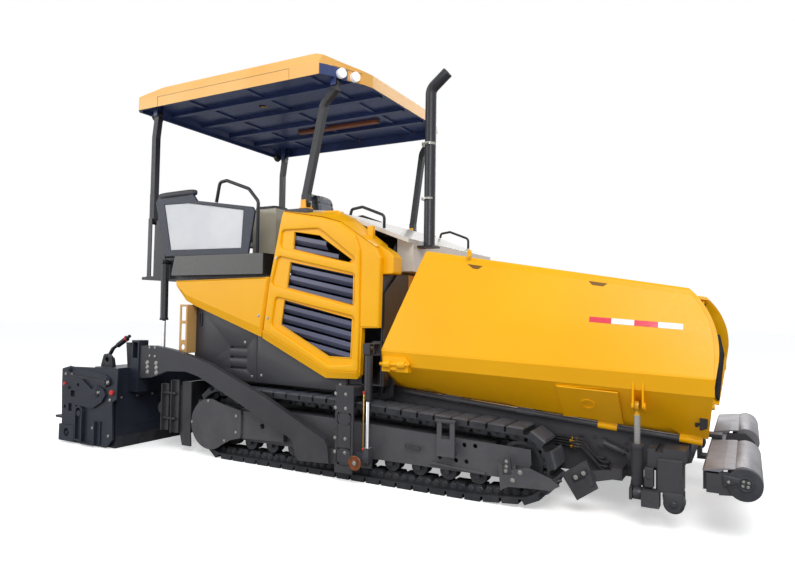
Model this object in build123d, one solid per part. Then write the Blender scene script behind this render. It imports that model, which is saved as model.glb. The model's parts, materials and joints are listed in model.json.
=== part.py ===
"""Tracked asphalt paver: tractor with hopper, folding canopy, tow arms and extending screed.

Millimetres. +X points forward to the hopper, +Y to the left, +Z up, and z = 0 is the ground.
The origin is under the middle of the machine's length and width.
Right-hand pieces are drawn at negative y and mirrored to the left.
"""
import math
import os

from build123d import *

os.makedirs("parts", exist_ok=True)

# ---------------------------------------------------------------- driving sizes
# Crawler tracks
TRACK_Y = 1100            # middle of a track
SHOE_WIDTH = 300
SHOE_COUNT = 50
SHOE_FACE = 65            # chain pitch line to the shoe's outer face
SHOE_BASE = 26            # chain pitch line to the groove between two shoes
SHOE_GAP = 14
SHOE_CLEAR = 12           # between the shoes' ends and the plates outside them
CHAIN_WIDTH = 150
CHAIN_INNER = 35          # chain pitch line to the chain's inner face
SPROCKET_X, SPROCKET_Z = -1062, 367
SPROCKET_PITCH = 245      # radius of the chain's pitch line round the sprocket
IDLER_X, IDLER_Z = 1855, 300
IDLER_PITCH = 207
GROUND_REAR, GROUND_FRONT = -1040, 1520
ROLLER_PITCH = 106
CARRIER_X, CARRIER_Z = 225, 513
CARRIER_PITCH = 75
WHEEL_GAP = 3             # between a wheel and the chain it runs in
SEAT_GAP = 0.3            # between pieces that rest or run on each other
ROLLER_COUNT = 10
ROLLER_FIRST_X = -750

# Track side beams
BEAM_OUT, BEAM_IN = 1200, 1000    # outer and inner faces, from the middle plane
BEAM_WALL = 18
GUARD_OUT = 1275          # outer face of the round sprocket guard
GUARD_RADIUS = 238

# Tractor frame
FRAME_OUT = 918           # outer face of the frame's side walls
FRAME_WALL = 20
FRAME_BOTTOM = 250
FRAME_REAR, FRAME_FRONT = -1560, 2990
TUNNEL_IN, TUNNEL_OUT = 40, 700   # one conveyor tunnel, from the middle plane
TUNNEL_TOP = 740
DECK_LOW = 780            # top of the frame behind the hopper

# Hopper wings
HINGE_Y = 945
HINGE_X0, HINGE_Z0 = 700, 738
HINGE_SLOPE = -0.0781     # the hinge line falls towards the front
HINGE_RADIUS = 24
KNUCKLE_GAP = 0.5
WEB_INSET = 4             # a knuckle's web stops short of its ends
WING_PLATE = 12
PATCH_SHEET = 8
CREASE_Y = 1250
WING_REAR, WING_FRONT = 700, 3180
CHEEK_X, CHEEK_PLATE = 2972, 12   # front face of the turned-in cheek
FLAP_SHEET = 12
HOPPER_BACK = 640         # rear face of the hopper's fixed back wall
BACK_WALL = 15

# Hopper cylinders
RAM_X = 2676
RAM_FOOT_Y, RAM_FOOT_Z = 1180, 215
RAM_EYE_Y, RAM_EYE_Z = 1205, 800
RAM_BARREL_RADIUS, RAM_BARREL_LENGTH = 40, 332
RAM_ROD_RADIUS = 20
RAM_EYE_RADIUS, RAM_EYE_WIDTH = 32, 26
RAM_NECK_RADIUS, RAM_NECK_LENGTH = 24, 62
RAM_FOOT_WIDTH, RAM_FOOT_RADIUS = 50, 42
RAM_PIN_RADIUS = 20
RAM_ROD_START = 290       # inner end of the rod, from the foot pin
EAR_CLEARANCE, EAR_PLATE = 3, 11
EAR_DRIFT = 20            # how far a wing's ears run rearward as it opens

# Tow points and levelling cylinders
GUIDE_X0, GUIDE_X1 = 322, 500
GUIDE_Z0, GUIDE_Z1 = 77, 790
GUIDE_OUT, GUIDE_PLATE = 1345, 20
TOW_PIN_X, TOW_PIN_Z = 400, 190
TOW_PIN_RADIUS = 25
HITCH_RADIUS = 40
PIN_CLEARANCE = 0.05
LEVEL_X, LEVEL_Y = 612, 1300
LEVEL_TOP, LEVEL_BARREL_END, LEVEL_ROD_END = 1102, 678, 300
ARM_OUT, ARM_IN = 1350, 1290

# Lift cylinders
LIFT_X, LIFT_Y = -1920, 1200
LIFT_TOP, LIFT_BARREL_END, LIFT_EYE_Z = 1885, 1289, 965
LIFT_EYE_X = -1905
LIFT_BARREL_RADIUS, LIFT_ROD_RADIUS = 38, 19
LIFT_EYE_RADIUS = 32

# Screed
SCREED_FRONT, SCREED_SPLIT, SCREED_REAR = -2215, -2560, -2960
SCREED_TOP = 800
SCREED_WALL = 12
SOLE_LOW, SOLE_HIGH = 2, 24
SOLE_NOSE, SOLE_NOSE_TOP = 10, 120
RUN_GAP = 14              # between the main screed and its extensions
GATE_OUT, GATE_PLATE = 1550, 20
GATE_SEAT = 30            # from an extension's end to its gate
SCREED_HALF = GATE_OUT - GATE_PLATE - GATE_SEAT
TUBE_X, TUBE_Z, TUBE_RADIUS = -2390, 520, 55
TUBE_INNER_END = 130
WALK_FRONT, WALK_Z = -2985, 212
WALK_REAR = -3415         # as far back as the push rollers reach forward

# Augers
AUGER_X, AUGER_Z = -1870, 405
AUGER_RADIUS, AUGER_SHAFT = 190, 45
AUGER_IN, AUGER_OUT = 70, 1195
AUGER_PITCH = 330

# Body panels and platform
PANEL_OUT = 1200          # outer face of the yellow side panels
PANEL_SHEET = 12
LOWER_OUT = 1148          # outer face of the dark lower panels
PANEL_DEPTH = PANEL_OUT - LOWER_OUT - SEAT_GAP
SHELL_OUT = 1128          # outer face of the inner enclosure
SHELL_SHEET = 12
DECK_TOP, DECK_SHEET = 1740, 30
DECK_REAR, DECK_FRONT = -2330, -420
DECK_HALF = LIFT_Y - 55   # the lift cylinders hang just outside the deck
HOOD_FRONT, HOOD_HALF = 800, 990
CONSOLE_IN, CONSOLE_OUT = 1000, 1250
CONSOLE_TOP = 1936

# Canopy
POST_Y = 1070
POST_SIZE = 62
FRONT_PIVOT_X, FRONT_PIVOT_Z = -232, 2402
FRONT_FOOT_Z = 2346       # top of the bracket that carries the front post's foot
REAR_PIVOT_X, REAR_PIVOT_Z = -2262, 2345
FRONT_TOP_X, REAR_TOP_X, TOP_PIVOT_Z = 24, -2235, 3500
FRONT_TOP_Y = 1000        # the front posts lean inwards to this
POST_PIN_RADIUS, POST_EYE_RADIUS = 16, 38
LUG_GAP, LUG_PLATE = 5, 12
ROOF_LIFT = 40            # the roof's lower edge is this far above the posts' heads
RIM_HEIGHT, ROOF_CROWN, ROOF_SKIN = 120, 140, 25
ROOF_LOW = TOP_PIVOT_Z + ROOF_LIFT
ROOF_RIM = ROOF_LOW + RIM_HEIGHT
ROOF_TOP = ROOF_RIM + ROOF_CROWN
ROOF_CEILING = ROOF_RIM - ROOF_SKIN
ROOF_REAR, ROOF_FRONT = -2470, 212
ROOF_HALF = 1190
LAMP_CORNER, LAMP_EDGE = (40, -1090), (180, -770)     # the roof's chamfered corner
LAMP_SHARES = (0.27, 0.7)
LAMP_RADIUS, LAMP_DEPTH = 45, 42
LAMP_RECESS = 6           # how far the lamps' seat lies behind the corner's face
LAMP_BACK = 10            # thickness of the seat
LAMP_Z = ROOF_LOW + 42
LAMP_SEAT = 0.3

# Push rollers
PUSH_X, PUSH_Z, PUSH_RADIUS = 3313, 382, 102
PUSH_IN, PUSH_OUT = 273, 1262


# ---------------------------------------------------------------- small helpers
def block(x0, x1, y0, y1, z0, z1):
    """A box between two corners."""
    return Pos((x0 + x1) / 2, (y0 + y1) / 2, (z0 + z1) / 2) * Box(abs(x1 - x0), abs(y1 - y0), abs(z1 - z0))


def side_plate(outline, y0, y1):
    """An outline of (x, z) points, as a plate from y0 to y1."""
    face = make_face(Polyline(*[(x, y0, z) for x, z in outline], close=True))
    return extrude(face, amount=y1 - y0, dir=(0, 1, 0))


def cross_plate(outline, x0, x1):
    """An outline of (y, z) points, as a plate from x0 to x1."""
    face = make_face(Polyline(*[(x0, y, z) for y, z in outline], close=True))
    return extrude(face, amount=x1 - x0, dir=(1, 0, 0))


def flat_plate(outline, z0, z1):
    """An outline of (x, y) points, as a plate from z0 to z1."""
    face = make_face(Polyline(*[(x, y, z0) for x, y in outline], close=True))
    return extrude(face, amount=z1 - z0, dir=(0, 0, 1))


def bar(start, end, radius):
    """A round bar between two points."""
    a, b = Vector(*start), Vector(*end)
    return extrude(Plane(origin=a, z_dir=b - a) * Circle(radius), amount=(b - a).length)


def disc(x, z, radius, y0, y1):
    """A round disc or pin across the machine."""
    return bar((x, y0, z), (x, y1, z), radius)


def bent_bar(points, radius, bends):
    """A round bar along straight runs joined by arcs, with one bend radius for each corner."""
    path = FilletPolyline(*points, radius=bends)
    start = Vector(*points[1]) - Vector(*points[0])
    return sweep(Plane(origin=points[0], z_dir=start) * Circle(radius), path=path)


def fused(pieces):
    """One solid from pieces that meet."""
    whole = pieces[0]
    for piece in pieces[1:]:
        whole = whole + piece
    return whole


def mirrored(shape):
    """The same piece on the machine's other side."""
    return mirror(shape, about=Plane.XZ)


def keep(name, *pieces):
    """Write one node from its solids."""
    solids = [solid for piece in pieces for solid in piece.solids()]
    export_step(Compound(children=solids), f"parts/{name}.step")


def keep_pair(name, piece):
    """Write a right and a left node from the right-hand piece."""
    keep(name + "_right", piece)
    keep(name + "_left", mirrored(piece))


def thick_line(points, thickness):
    """A closed outline round a bent sheet: its outer line and that line moved inwards."""
    inner = []
    for i, point in enumerate(points):
        ends = [(points[j], points[j + 1]) for j in (i - 1, i) if 0 <= j < len(points) - 1]
        normals = []
        for (y0, z0), (y1, z1) in ends:
            length = math.hypot(y1 - y0, z1 - z0)
            normals.append(((z0 - z1) / length, (y1 - y0) / length))
        ny = sum(n[0] for n in normals) / len(normals)
        nz = sum(n[1] for n in normals) / len(normals)
        scale = thickness / (ny * ny + nz * nz)
        inner.append((point[0] + ny * scale, point[1] + nz * scale))
    return points + inner[::-1]


# ---------------------------------------------------------------- crawler tracks
# circles that the chain's pitch line runs round, each (x, z, radius), from the rear end of the ground run
ROLLER_Z = SHOE_FACE + ROLLER_PITCH
BELT = ((GROUND_REAR, ROLLER_Z, ROLLER_PITCH), (GROUND_FRONT, ROLLER_Z, ROLLER_PITCH),
        (IDLER_X, IDLER_Z, IDLER_PITCH), (CARRIER_X, CARRIER_Z, CARRIER_PITCH),
        (SPROCKET_X, SPROCKET_Z, SPROCKET_PITCH))


def belt_runs(offset):
    """Straight runs of the belt moved outwards by offset, each (start, direction angle, length)."""
    runs = []
    for i, (xa, za, ra) in enumerate(BELT):
        xb, zb, rb = BELT[(i + 1) % len(BELT)]
        span = math.hypot(xb - xa, zb - za)
        turn = (math.atan2(zb - za, xb - xa) + math.asin((ra - rb) / span)) % (2 * math.pi)
        reach = ra + offset
        start = (xa + reach * math.sin(turn), za - reach * math.cos(turn))
        runs.append((start, turn, math.sqrt(span * span - (ra - rb) ** 2)))
    return runs


def belt_arc(runs, i):
    """Angle that the belt turns through on the circle at the end of run i."""
    return (runs[(i + 1) % len(runs)][1] - runs[i][1]) % (2 * math.pi)


PITCH_RUNS = belt_runs(0)
LOOP_LENGTH = sum(length + belt_arc(PITCH_RUNS, i) * BELT[(i + 1) % len(BELT)][2]
                  for i, (start, turn, length) in enumerate(PITCH_RUNS))
SHOE_PITCH = LOOP_LENGTH / SHOE_COUNT


def loop_point(distance, along, outward):
    """A point beside the pitch line: some way round it, then along and outward."""
    distance = distance % LOOP_LENGTH
    for i, ((x, z), turn, length) in enumerate(PITCH_RUNS):
        cx, cz, radius = BELT[(i + 1) % len(BELT)]
        arc = belt_arc(PITCH_RUNS, i) * radius
        if distance <= length:
            x, z = x + distance * math.cos(turn), z + distance * math.sin(turn)
            break
        if distance <= length + arc:
            turn = turn + (distance - length) / radius
            x, z = cx + radius * math.sin(turn), cz - radius * math.cos(turn)
            break
        distance = distance - length - arc
    tx, tz = math.cos(turn), math.sin(turn)
    return x + along * tx + outward * tz, z + along * tz - outward * tx


def loop_outline(profile):
    """A closed outline that repeats (along, outward) points once for each shoe."""
    outline = []
    for shoe in range(SHOE_COUNT):
        for along, outward in profile:
            outline.append(loop_point((shoe + 0.5) * SHOE_PITCH, along, outward))
    return outline


def loop_band(offset):
    """The area inside the pitch line moved outwards by offset."""
    runs = belt_runs(offset)
    edges = []
    for i, ((x, z), turn, length) in enumerate(runs):
        end = (x + length * math.cos(turn), 0, z + length * math.sin(turn))
        cx, cz, radius = BELT[(i + 1) % len(BELT)]
        middle = turn + belt_arc(runs, i) / 2
        reach = radius + offset
        arc_middle = (cx + reach * math.sin(middle), 0, cz - reach * math.cos(middle))
        nx, nz = runs[(i + 1) % len(runs)][0]
        edges.append(Line((x, 0, z), end))
        edges.append(ThreePointArc(end, arc_middle, (nx, 0, nz)))
    return make_face(edges)


def track_loop():
    """One crawler track: a chain with its shoes, as one closed loop."""
    half = (SHOE_PITCH - SHOE_GAP) / 2
    shoe_profile = [(-half, SHOE_BASE), (-half + 5, SHOE_FACE), (half - 5, SHOE_FACE), (half, SHOE_BASE)]
    shoes = side_plate(loop_outline(shoe_profile), -TRACK_Y - SHOE_WIDTH / 2, -TRACK_Y + SHOE_WIDTH / 2)
    inside = extrude(loop_band(16), amount=2 * SHOE_WIDTH + 2 * TRACK_Y, both=True)
    link_profile = [(-SHOE_PITCH * 0.36, -CHAIN_INNER), (SHOE_PITCH * 0.36, -CHAIN_INNER),
                    (SHOE_PITCH * 0.44, -CHAIN_INNER / 3), (SHOE_PITCH * 0.56, -CHAIN_INNER / 3)]
    chain = extrude(loop_band(20), amount=CHAIN_WIDTH / 2, both=True)
    chain = Pos(0, -TRACK_Y, 0) * chain
    hollow = side_plate(loop_outline(link_profile), -TRACK_Y - CHAIN_WIDTH, -TRACK_Y + CHAIN_WIDTH)
    under_ground = block(-3000, 3000, -TRACK_Y - SHOE_WIDTH, -TRACK_Y + SHOE_WIDTH, -50, 0)
    return (shoes - inside - under_ground) + (chain - hollow)


def track_wheels():
    """Sprocket, idler, track rollers and carrier rollers, each on its own axle."""
    wheels = []
    tooth_count = 12
    tip = SPROCKET_PITCH - CHAIN_INNER - WHEEL_GAP
    outline = []
    for tooth in range(tooth_count):
        for share, radius in ((-0.34, tip - 26), (-0.14, tip), (0.14, tip), (0.34, tip - 26)):
            turn = 2 * math.pi * (tooth + share) / tooth_count
            outline.append((SPROCKET_X + radius * math.cos(turn), SPROCKET_Z + radius * math.sin(turn)))
    sprocket = side_plate(outline, -TRACK_Y - 30, -TRACK_Y + 30)
    hub = disc(SPROCKET_X, SPROCKET_Z, 110, -TRACK_Y - 120, -BEAM_IN - BEAM_WALL)
    wheels.append(sprocket + hub)
    idler_radius = IDLER_PITCH - CHAIN_INNER - WHEEL_GAP
    idler = disc(IDLER_X, IDLER_Z, idler_radius, -TRACK_Y - 55, -TRACK_Y + 55)
    rim_depth = 22
    for side in (-1, 1):
        face = -TRACK_Y + side * 55
        idler = idler - disc(IDLER_X, IDLER_Z, idler_radius - 28, face, face - side * rim_depth)
        idler = idler + disc(IDLER_X, IDLER_Z, 60, face - side * rim_depth, face)
    axle = disc(IDLER_X, IDLER_Z, 28, -BEAM_OUT + BEAM_WALL, -BEAM_IN - BEAM_WALL)
    wheels.append(idler + axle)
    radius = ROLLER_PITCH - CHAIN_INNER - SEAT_GAP
    roller_step = (GROUND_FRONT - ROLLER_FIRST_X) / (ROLLER_COUNT - 1)
    for i in range(ROLLER_COUNT):
        x = ROLLER_FIRST_X + i * roller_step
        roller = disc(x, ROLLER_Z, radius, -TRACK_Y - 50, -TRACK_Y + 50)
        roller = roller + disc(x, ROLLER_Z, 22, -BEAM_OUT + BEAM_WALL, -BEAM_IN - BEAM_WALL)
        wheels.append(roller)
    carrier = disc(CARRIER_X, CARRIER_Z, CARRIER_PITCH - CHAIN_INNER - SEAT_GAP, -TRACK_Y - 50, -TRACK_Y + 50)
    carrier = carrier + disc(CARRIER_X, CARRIER_Z, 18, -TRACK_Y + 40, -BEAM_IN - BEAM_WALL)
    wheels.append(carrier)
    return wheels


def track_frame():
    """One track's side beam with its cross tubes, nose plate, upper bracket and sprocket guard."""
    outline = [(-1010, 250), (-1010, 430), (-780, 498), (-270, 494), (222, 486), (1630, 432), (1944, 419),
               (1949, 311), (1900, 225), (1740, 190), (-780, 190)]
    beam = side_plate(outline, -BEAM_OUT, -BEAM_IN)
    in_y, out_y = -BEAM_IN - BEAM_WALL, -BEAM_OUT + BEAM_WALL
    beam = beam - block(-880, 1660, out_y, in_y, 100, 415)
    beam = beam - block(1650, 2100, out_y, in_y, 100, 600)
    beam = beam - block(-1100, -860, out_y, in_y, 100, 600)
    # the outer plate stops ahead of the sprocket's hub
    beam = beam - block(-1100, -930, -BEAM_OUT - 5, out_y + 5, 100, 600)
    beam = beam - block(CARRIER_X - 55, CARRIER_X + 55, -TRACK_Y - 60, -TRACK_Y + 60, 400, 600)
    drive_side = disc(SPROCKET_X, SPROCKET_Z, 165, in_y, -BEAM_IN + 40)
    drive_plate = block(-1150, -900, in_y, -BEAM_IN, 150, 430)
    pad_radius = ROLLER_PITCH - CHAIN_INNER - SEAT_GAP
    guide_pad = disc(GROUND_REAR, ROLLER_Z, pad_radius, -TRACK_Y + 34, -BEAM_IN)
    carrier_seat = block(CARRIER_X - 32, CARRIER_X + 32, in_y, -BEAM_IN, 430, CARRIER_Z + 32)
    beam = fused([beam, drive_side, drive_plate, guide_pad, carrier_seat])
    for x, z in ((-532, 352), (240, 400), (1421, 395), (1510, 397), (1218, 280), (1353, 271), (1440, 271)):
        beam = beam - disc(x, z, 18, -BEAM_OUT - 5, out_y + 1)
    for x in (-500, 1180):
        beam = beam + bar((x, -BEAM_IN - 1, 320), (x, -FRAME_OUT, 320), 62)
    # flange strip along the beam's lower front edge
    beam = beam + side_plate([(1142, 240), (1600, 213), (1600, 196), (1142, 222)], -BEAM_OUT - 20, -BEAM_OUT)
    # nose plate outside the shoes, carried forward below the idler
    plate_in = -TRACK_Y - SHOE_WIDTH / 2 - SHOE_CLEAR
    plate_out = plate_in - 14
    nose = side_plate([(1721, 330), (1789, 268), (1947, 305), (2110, 250), (2174, 205), (2110, 165), (1948, 160),
                       (1800, 150), (1740, 115)], plate_out, plate_in)
    beam = fused([beam, nose, block(1735, 1850, plate_in - 1, -BEAM_OUT, 190, 300)])
    # upper bracket: two legs under a cap, outside the shoes
    bracket = block(1223, 1371, plate_out, plate_in, 304, 588) - block(1262, 1332, plate_out - 5, plate_in + 5, 440, 560)
    cap = block(1215, 1379, plate_out - 10, plate_in, 572, 588)
    beam = fused([beam, bracket, cap, block(1230, 1364, plate_in - 1, -BEAM_OUT, 320, 410)])
    # sprocket guard: a round cover outside the track, with a flat part forward to the beam
    guard_in = -GUARD_OUT + 14
    guard = disc(-1165, 315, GUARD_RADIUS, -GUARD_OUT, guard_in)
    guard = guard + side_plate([(-1240, 540), (-1165, 553), (-945, 504), (-775, 473), (-775, 223), (-903, 190),
                                (-1080, 95), (-1165, 77)], -GUARD_OUT, guard_in)
    guard = guard + side_plate([(-776, 470), (-602, 466), (-288, 311), (-288, 235), (-776, 219)],
                               -GUARD_OUT + 20, -BEAM_OUT)
    guard = guard + side_plate([(-1000, 516), (-945, 504), (-775, 473), (-775, 461), (-945, 492), (-1000, 504)],
                               -GUARD_OUT, -BEAM_OUT - 30)
    guard = guard - disc(-532, 352, 26, -GUARD_OUT - 5, -BEAM_OUT + 5)
    spacer = block(-860, -770, -GUARD_OUT + 1, -BEAM_OUT, 250, 440)
    return fused([beam, guard, spacer])


keep_pair("track_loop", track_loop())
wheel_set = track_wheels()
keep("track_wheels", *wheel_set, *[mirrored(wheel) for wheel in wheel_set])
track_beam = track_frame()
keep("track_frames", track_beam, mirrored(track_beam))


# ---------------------------------------------------------------- tractor frame and conveyors
def hinge_z(x):
    """Height of the wing hinge line at x."""
    return HINGE_Z0 + HINGE_SLOPE * (x - HINGE_X0)


def main_frame():
    """Side walls, floor, cross walls and conveyor tunnels in one welded frame."""
    wall_outline = [(FRAME_REAR, FRAME_BOTTOM), (2500, FRAME_BOTTOM), (2660, 310), (FRAME_FRONT, 400),
                    (FRAME_FRONT, hinge_z(FRAME_FRONT) - 5), (760, hinge_z(760) - 5), (760, DECK_LOW),
                    (FRAME_REAR, DECK_LOW)]
    inner_face = FRAME_OUT - FRAME_WALL
    pieces = []
    for side in (-1, 1):
        pieces.append(side_plate(wall_outline, *sorted((side * FRAME_OUT, side * inner_face))))
        pieces.append(block(FRAME_REAR, HOPPER_BACK, side * TUNNEL_OUT, side * (TUNNEL_OUT + 15),
                            FRAME_BOTTOM, DECK_LOW))
    pieces.append(block(FRAME_REAR, 2640, -inner_face, inner_face, FRAME_BOTTOM, FRAME_BOTTOM + 20))
    pieces.append(block(FRAME_REAR, 2900, -20, 20, FRAME_BOTTOM, 430))
    pieces.append(block(FRAME_REAR, HOPPER_BACK, -20, 20, 400, DECK_LOW))
    pieces.append(block(FRAME_REAR, HOPPER_BACK, -inner_face, inner_face, TUNNEL_TOP, DECK_LOW))
    for x in (FRAME_REAR, HOPPER_BACK - 20):
        wall = block(x, x + 20, -inner_face, inner_face, FRAME_BOTTOM, DECK_LOW)
        for side in (-1, 1):
            wall = wall - block(x - 5, x + 25, side * TUNNEL_IN, side * TUNNEL_OUT, FRAME_BOTTOM + 20, TUNNEL_TOP)
        pieces.append(wall)
    pieces.append(block(FRAME_FRONT - 20, FRAME_FRONT, -inner_face, inner_face, 400, hinge_z(FRAME_FRONT) - 5))
    frame = fused(pieces)
    # hinge tubes between the wings' knuckles, each on a lip of the side wall
    for x0, x1 in FRAME_KNUCKLES:
        for side in (-1, 1):
            y = side * HINGE_Y
            a, b = x0 + WEB_INSET, x1 - WEB_INSET
            lip = [(a, hinge_z(a)), (b, hinge_z(b)), (b, hinge_z(b) - 30), (a, hinge_z(a) - 30)]
            frame = frame + side_plate(lip, *sorted((side * FRAME_OUT, side * (HINGE_Y - 8))))
            frame = frame + bar((x0, y, hinge_z(x0)), (x1, y, hinge_z(x1)), HINGE_RADIUS)
    return frame


# hinge stretches along x, each (start, end): the wings' own knuckles sit between the frame's
WING_KNUCKLES = ((1150, 1285), (1760, 1895), (2370, 2505), (2917, 3060))
knuckle_ends = [760] + [x for pair in WING_KNUCKLES for x in pair]
FRAME_KNUCKLES = [(knuckle_ends[2 * i] + (KNUCKLE_GAP if i else 0), knuckle_ends[2 * i + 1] - KNUCKLE_GAP)
                  for i in range(len(WING_KNUCKLES))]


def hopper_bed():
    """Sloping hopper floor between the wing hinges and the conveyors, with the hopper's back wall."""
    pieces = []
    floor_front = FRAME_FRONT - 25
    for side in (-1, 1):
        outer, inner = side * (FRAME_OUT - FRAME_WALL - 1), side * 705
        sections = []
        for x in (HOPPER_BACK + BACK_WALL, floor_front):
            low = hinge_z(x) - 30
            points = [(x, outer, low), (x, outer, low - 12), (x, inner, 420), (x, inner, 432)]
            sections.append(make_face(Polyline(*points, close=True)))
        pieces.append(loft(sections, ruled=True))
    wall = cross_plate([(-1125, DECK_LOW), (1125, DECK_LOW), (1125, 1560), (900, 1740), (-900, 1740), (-1125, 1560)],
                       HOPPER_BACK, HOPPER_BACK + BACK_WALL)
    wall = wall + block(HOPPER_BACK, HOPPER_BACK + BACK_WALL, -FRAME_OUT + FRAME_WALL, FRAME_OUT - FRAME_WALL, 430, DECK_LOW + 5)
    for side in (-1, 1):
        wall = wall - block(HOPPER_BACK - 5, HOPPER_BACK + 25, side * TUNNEL_IN, side * TUNNEL_OUT, 400, TUNNEL_TOP)
    pieces.append(wall)
    return fused(pieces)


def conveyors():
    """Two slat conveyors: flights between chains on a floor plate, one in each tunnel."""
    pieces = []
    for side in (-1, 1):
        y0, y1 = side * (TUNNEL_IN + 15), side * (TUNNEL_OUT - 15)
        belt = block(FRAME_REAR + 30, 2850, y0, y1, 330, 342)
        for y in (y0 + side * 40, y1 - side * 60):
            belt = belt + block(FRAME_REAR + 20, 2860, y, y + side * 20, 340, 372)
        for i in range(22):
            x = FRAME_REAR + 60 + i * 200
            belt = belt + block(x, x + 35, y0, y1, 341, 368)
        leg_gap = 40
        for x in (-1300, 0, 1300, 2600):
            belt = belt + block(x, x + 60, y0 + side * leg_gap, y1 - side * leg_gap, FRAME_BOTTOM + 20, 331)
        pieces.append(belt)
    return pieces


keep("main_frame", main_frame())
keep("hopper_bed", hopper_bed())
keep("conveyors", *conveyors())


# ---------------------------------------------------------------- hopper wings and their cylinders
def wing_section(x, crease_z, top_y, top_z):
    """The wing's bent sheet at one end, as (y, z) points with y measured outwards."""
    return [(HINGE_Y + 8, hinge_z(x) + HINGE_RADIUS + 5), (CREASE_Y - 25, crease_z - 120), (CREASE_Y, crease_z),
            (top_y, top_z), (top_y - 18, top_z + 16), (top_y - 42, top_z + 10), (top_y - 50, top_z - 18)]


# the wing's two end sections: x, then height of the crease, and the top edge's y and z
WING_ENDS = ((WING_REAR, 1096, 1030, 1950), (WING_FRONT, 1012, 1005, 1555))


def inside_wing(x, inset):
    """The outer four points of the wing's section at x, moved inwards."""
    share = (x - WING_REAR) / (WING_FRONT - WING_REAR)
    crease_z, top_y, top_z = (a + share * (b - a) for a, b in zip(WING_ENDS[0][1:], WING_ENDS[1][1:]))
    line = thick_line(wing_section(x, crease_z, top_y, top_z)[:4], inset)
    return line[:3:-1]


def patch_panel(foot, crease):
    """Plate laid on the lower sheet, between two points of the sheet's section, with a port in it."""
    length = math.hypot(crease[0] - foot[0], crease[1] - foot[1])
    uy, uz = (crease[0] - foot[0]) / length, (crease[1] - foot[1]) / length
    ny, nz = uz, -uy
    lift = PATCH_SHEET

    def spot(share, out):
        return (-(foot[0] + uy * length * share + ny * out), foot[1] + uz * length * share + nz * out)

    outline = [spot(0.06, -2), spot(0.06, lift), spot(0.93, lift), spot(0.93, -2)]
    panel = cross_plate(outline, 2124, 2560)
    port_in, port_out = spot(0.5, -1), spot(0.5, lift + 14)
    ring = bar((2330, *port_in), (2330, *port_out), 52) - bar((2330, *spot(0.5, lift + 2)), (2330, *spot(0.5, lift + 20)), 38)
    return panel + ring


def hopper_wing():
    """One hopper wing: a bent sheet with a rolled top edge, stiffeners, cylinder ears and hinge knuckles."""
    sections = []
    for x, crease_z, top_y, top_z in WING_ENDS:
        outline = thick_line(wing_section(x, crease_z, top_y, top_z), WING_PLATE)
        sections.append(make_face(Polyline(*[(x, -y, z) for y, z in outline], close=True)))
    wing = loft(sections, ruled=True)
    # rear edge leans forward above the crease
    wing = wing - side_plate([(WING_REAR - 50, 1096), (WING_REAR, 1096), (1010, 1990), (WING_REAR - 50, 1990)],
                             -1400, -800)
    # front edge curves back to the top
    front = [Line((2985, 0, 1700), (2985, 0, 1600)), ThreePointArc((2985, 0, 1600), (3125, 0, 1400), (3170, 0, 1120)),
             Line((3170, 0, 1120), (3085, 0, 500)), Line((3085, 0, 500), (3400, 0, 500)),
             Line((3400, 0, 500), (3400, 0, 1700)), Line((3400, 0, 1700), (2985, 0, 1700))]
    front_cut = extrude(make_face(front), amount=1500, dir=(0, -1, 0))
    wing = wing - front_cut
    # turned-in front cheek
    edge = [(-y, z) for y, z in inside_wing(CHEEK_X, WING_PLATE - 2)][:4]
    cheek = cross_plate(edge + [(edge[3][0] + 40, edge[3][1] - 60), (-960, 1480), (-1120, 1010), (-940, 700)],
                        CHEEK_X - CHEEK_PLATE, CHEEK_X)
    wing = wing + cheek
    # cylinder ears, with a round eye at the bottom
    rear_ear = RAM_X - RAM_EYE_WIDTH / 2 - EAR_CLEARANCE
    front_ear = RAM_X + RAM_EYE_WIDTH / 2 + EAR_CLEARANCE + EAR_DRIFT
    for x0 in (rear_ear - EAR_PLATE, front_ear):
        x1 = x0 + EAR_PLATE
        ear = cross_plate([(-1242, 1010), (-1245, 800), (-1240, 790), (-1215, 776), (-1180, 766), (-1080, 742),
                           (-1100, 790), (-1190, 905), (-1222, 960)], x0, x1)
        wing = wing + ear
    for x0, x1 in ((rear_ear - EAR_PLATE - 8, rear_ear - 1), (front_ear + 1, front_ear + EAR_PLATE + 8)):
        wing = wing + bar((x0, -RAM_EYE_Y, RAM_EYE_Z), (x1, -RAM_EYE_Y, RAM_EYE_Z), 24)
    # patch panel with a round port on the lower sheet, lock bracket near the rear end
    foot, crease = wing_section(2330, 1045, 0, 0)[0], wing_section(2330, 1045, 0, 0)[1]
    wing = wing + patch_panel(foot, crease)
    lock = block(715, 955, -1262, -1200, 925, 990)
    lock = lock - block(790, 850, -1275, -1235, 915, 1000)
    wing = wing + lock
    for x0, x1 in WING_KNUCKLES:
        knuckle = bar((x0, -HINGE_Y, hinge_z(x0)), (x1, -HINGE_Y, hinge_z(x1)), HINGE_RADIUS)
        a, b = x0 + WEB_INSET, x1 - WEB_INSET
        web = side_plate([(a, hinge_z(a)), (b, hinge_z(b)), (b, hinge_z(b) + 38), (a, hinge_z(a) + 38)],
                         -HINGE_Y - 16, -HINGE_Y + 2)
        wing = fused([wing, knuckle, web])
    return wing


def wing_flap():
    """Black rubber flap bolted to the front cheek of a wing."""
    edge = [(-y, z) for y, z in inside_wing(CHEEK_X + FLAP_SHEET, WING_PLATE + 8)][:4]
    edge = edge[:3] + [(edge[3][0], edge[3][1] - 40)]
    return cross_plate(edge + [(-880, 1430), (-690, 1250), (-640, 1000), (-640, 700), (-760, 640)],
                       CHEEK_X, CHEEK_X + FLAP_SHEET)


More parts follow.
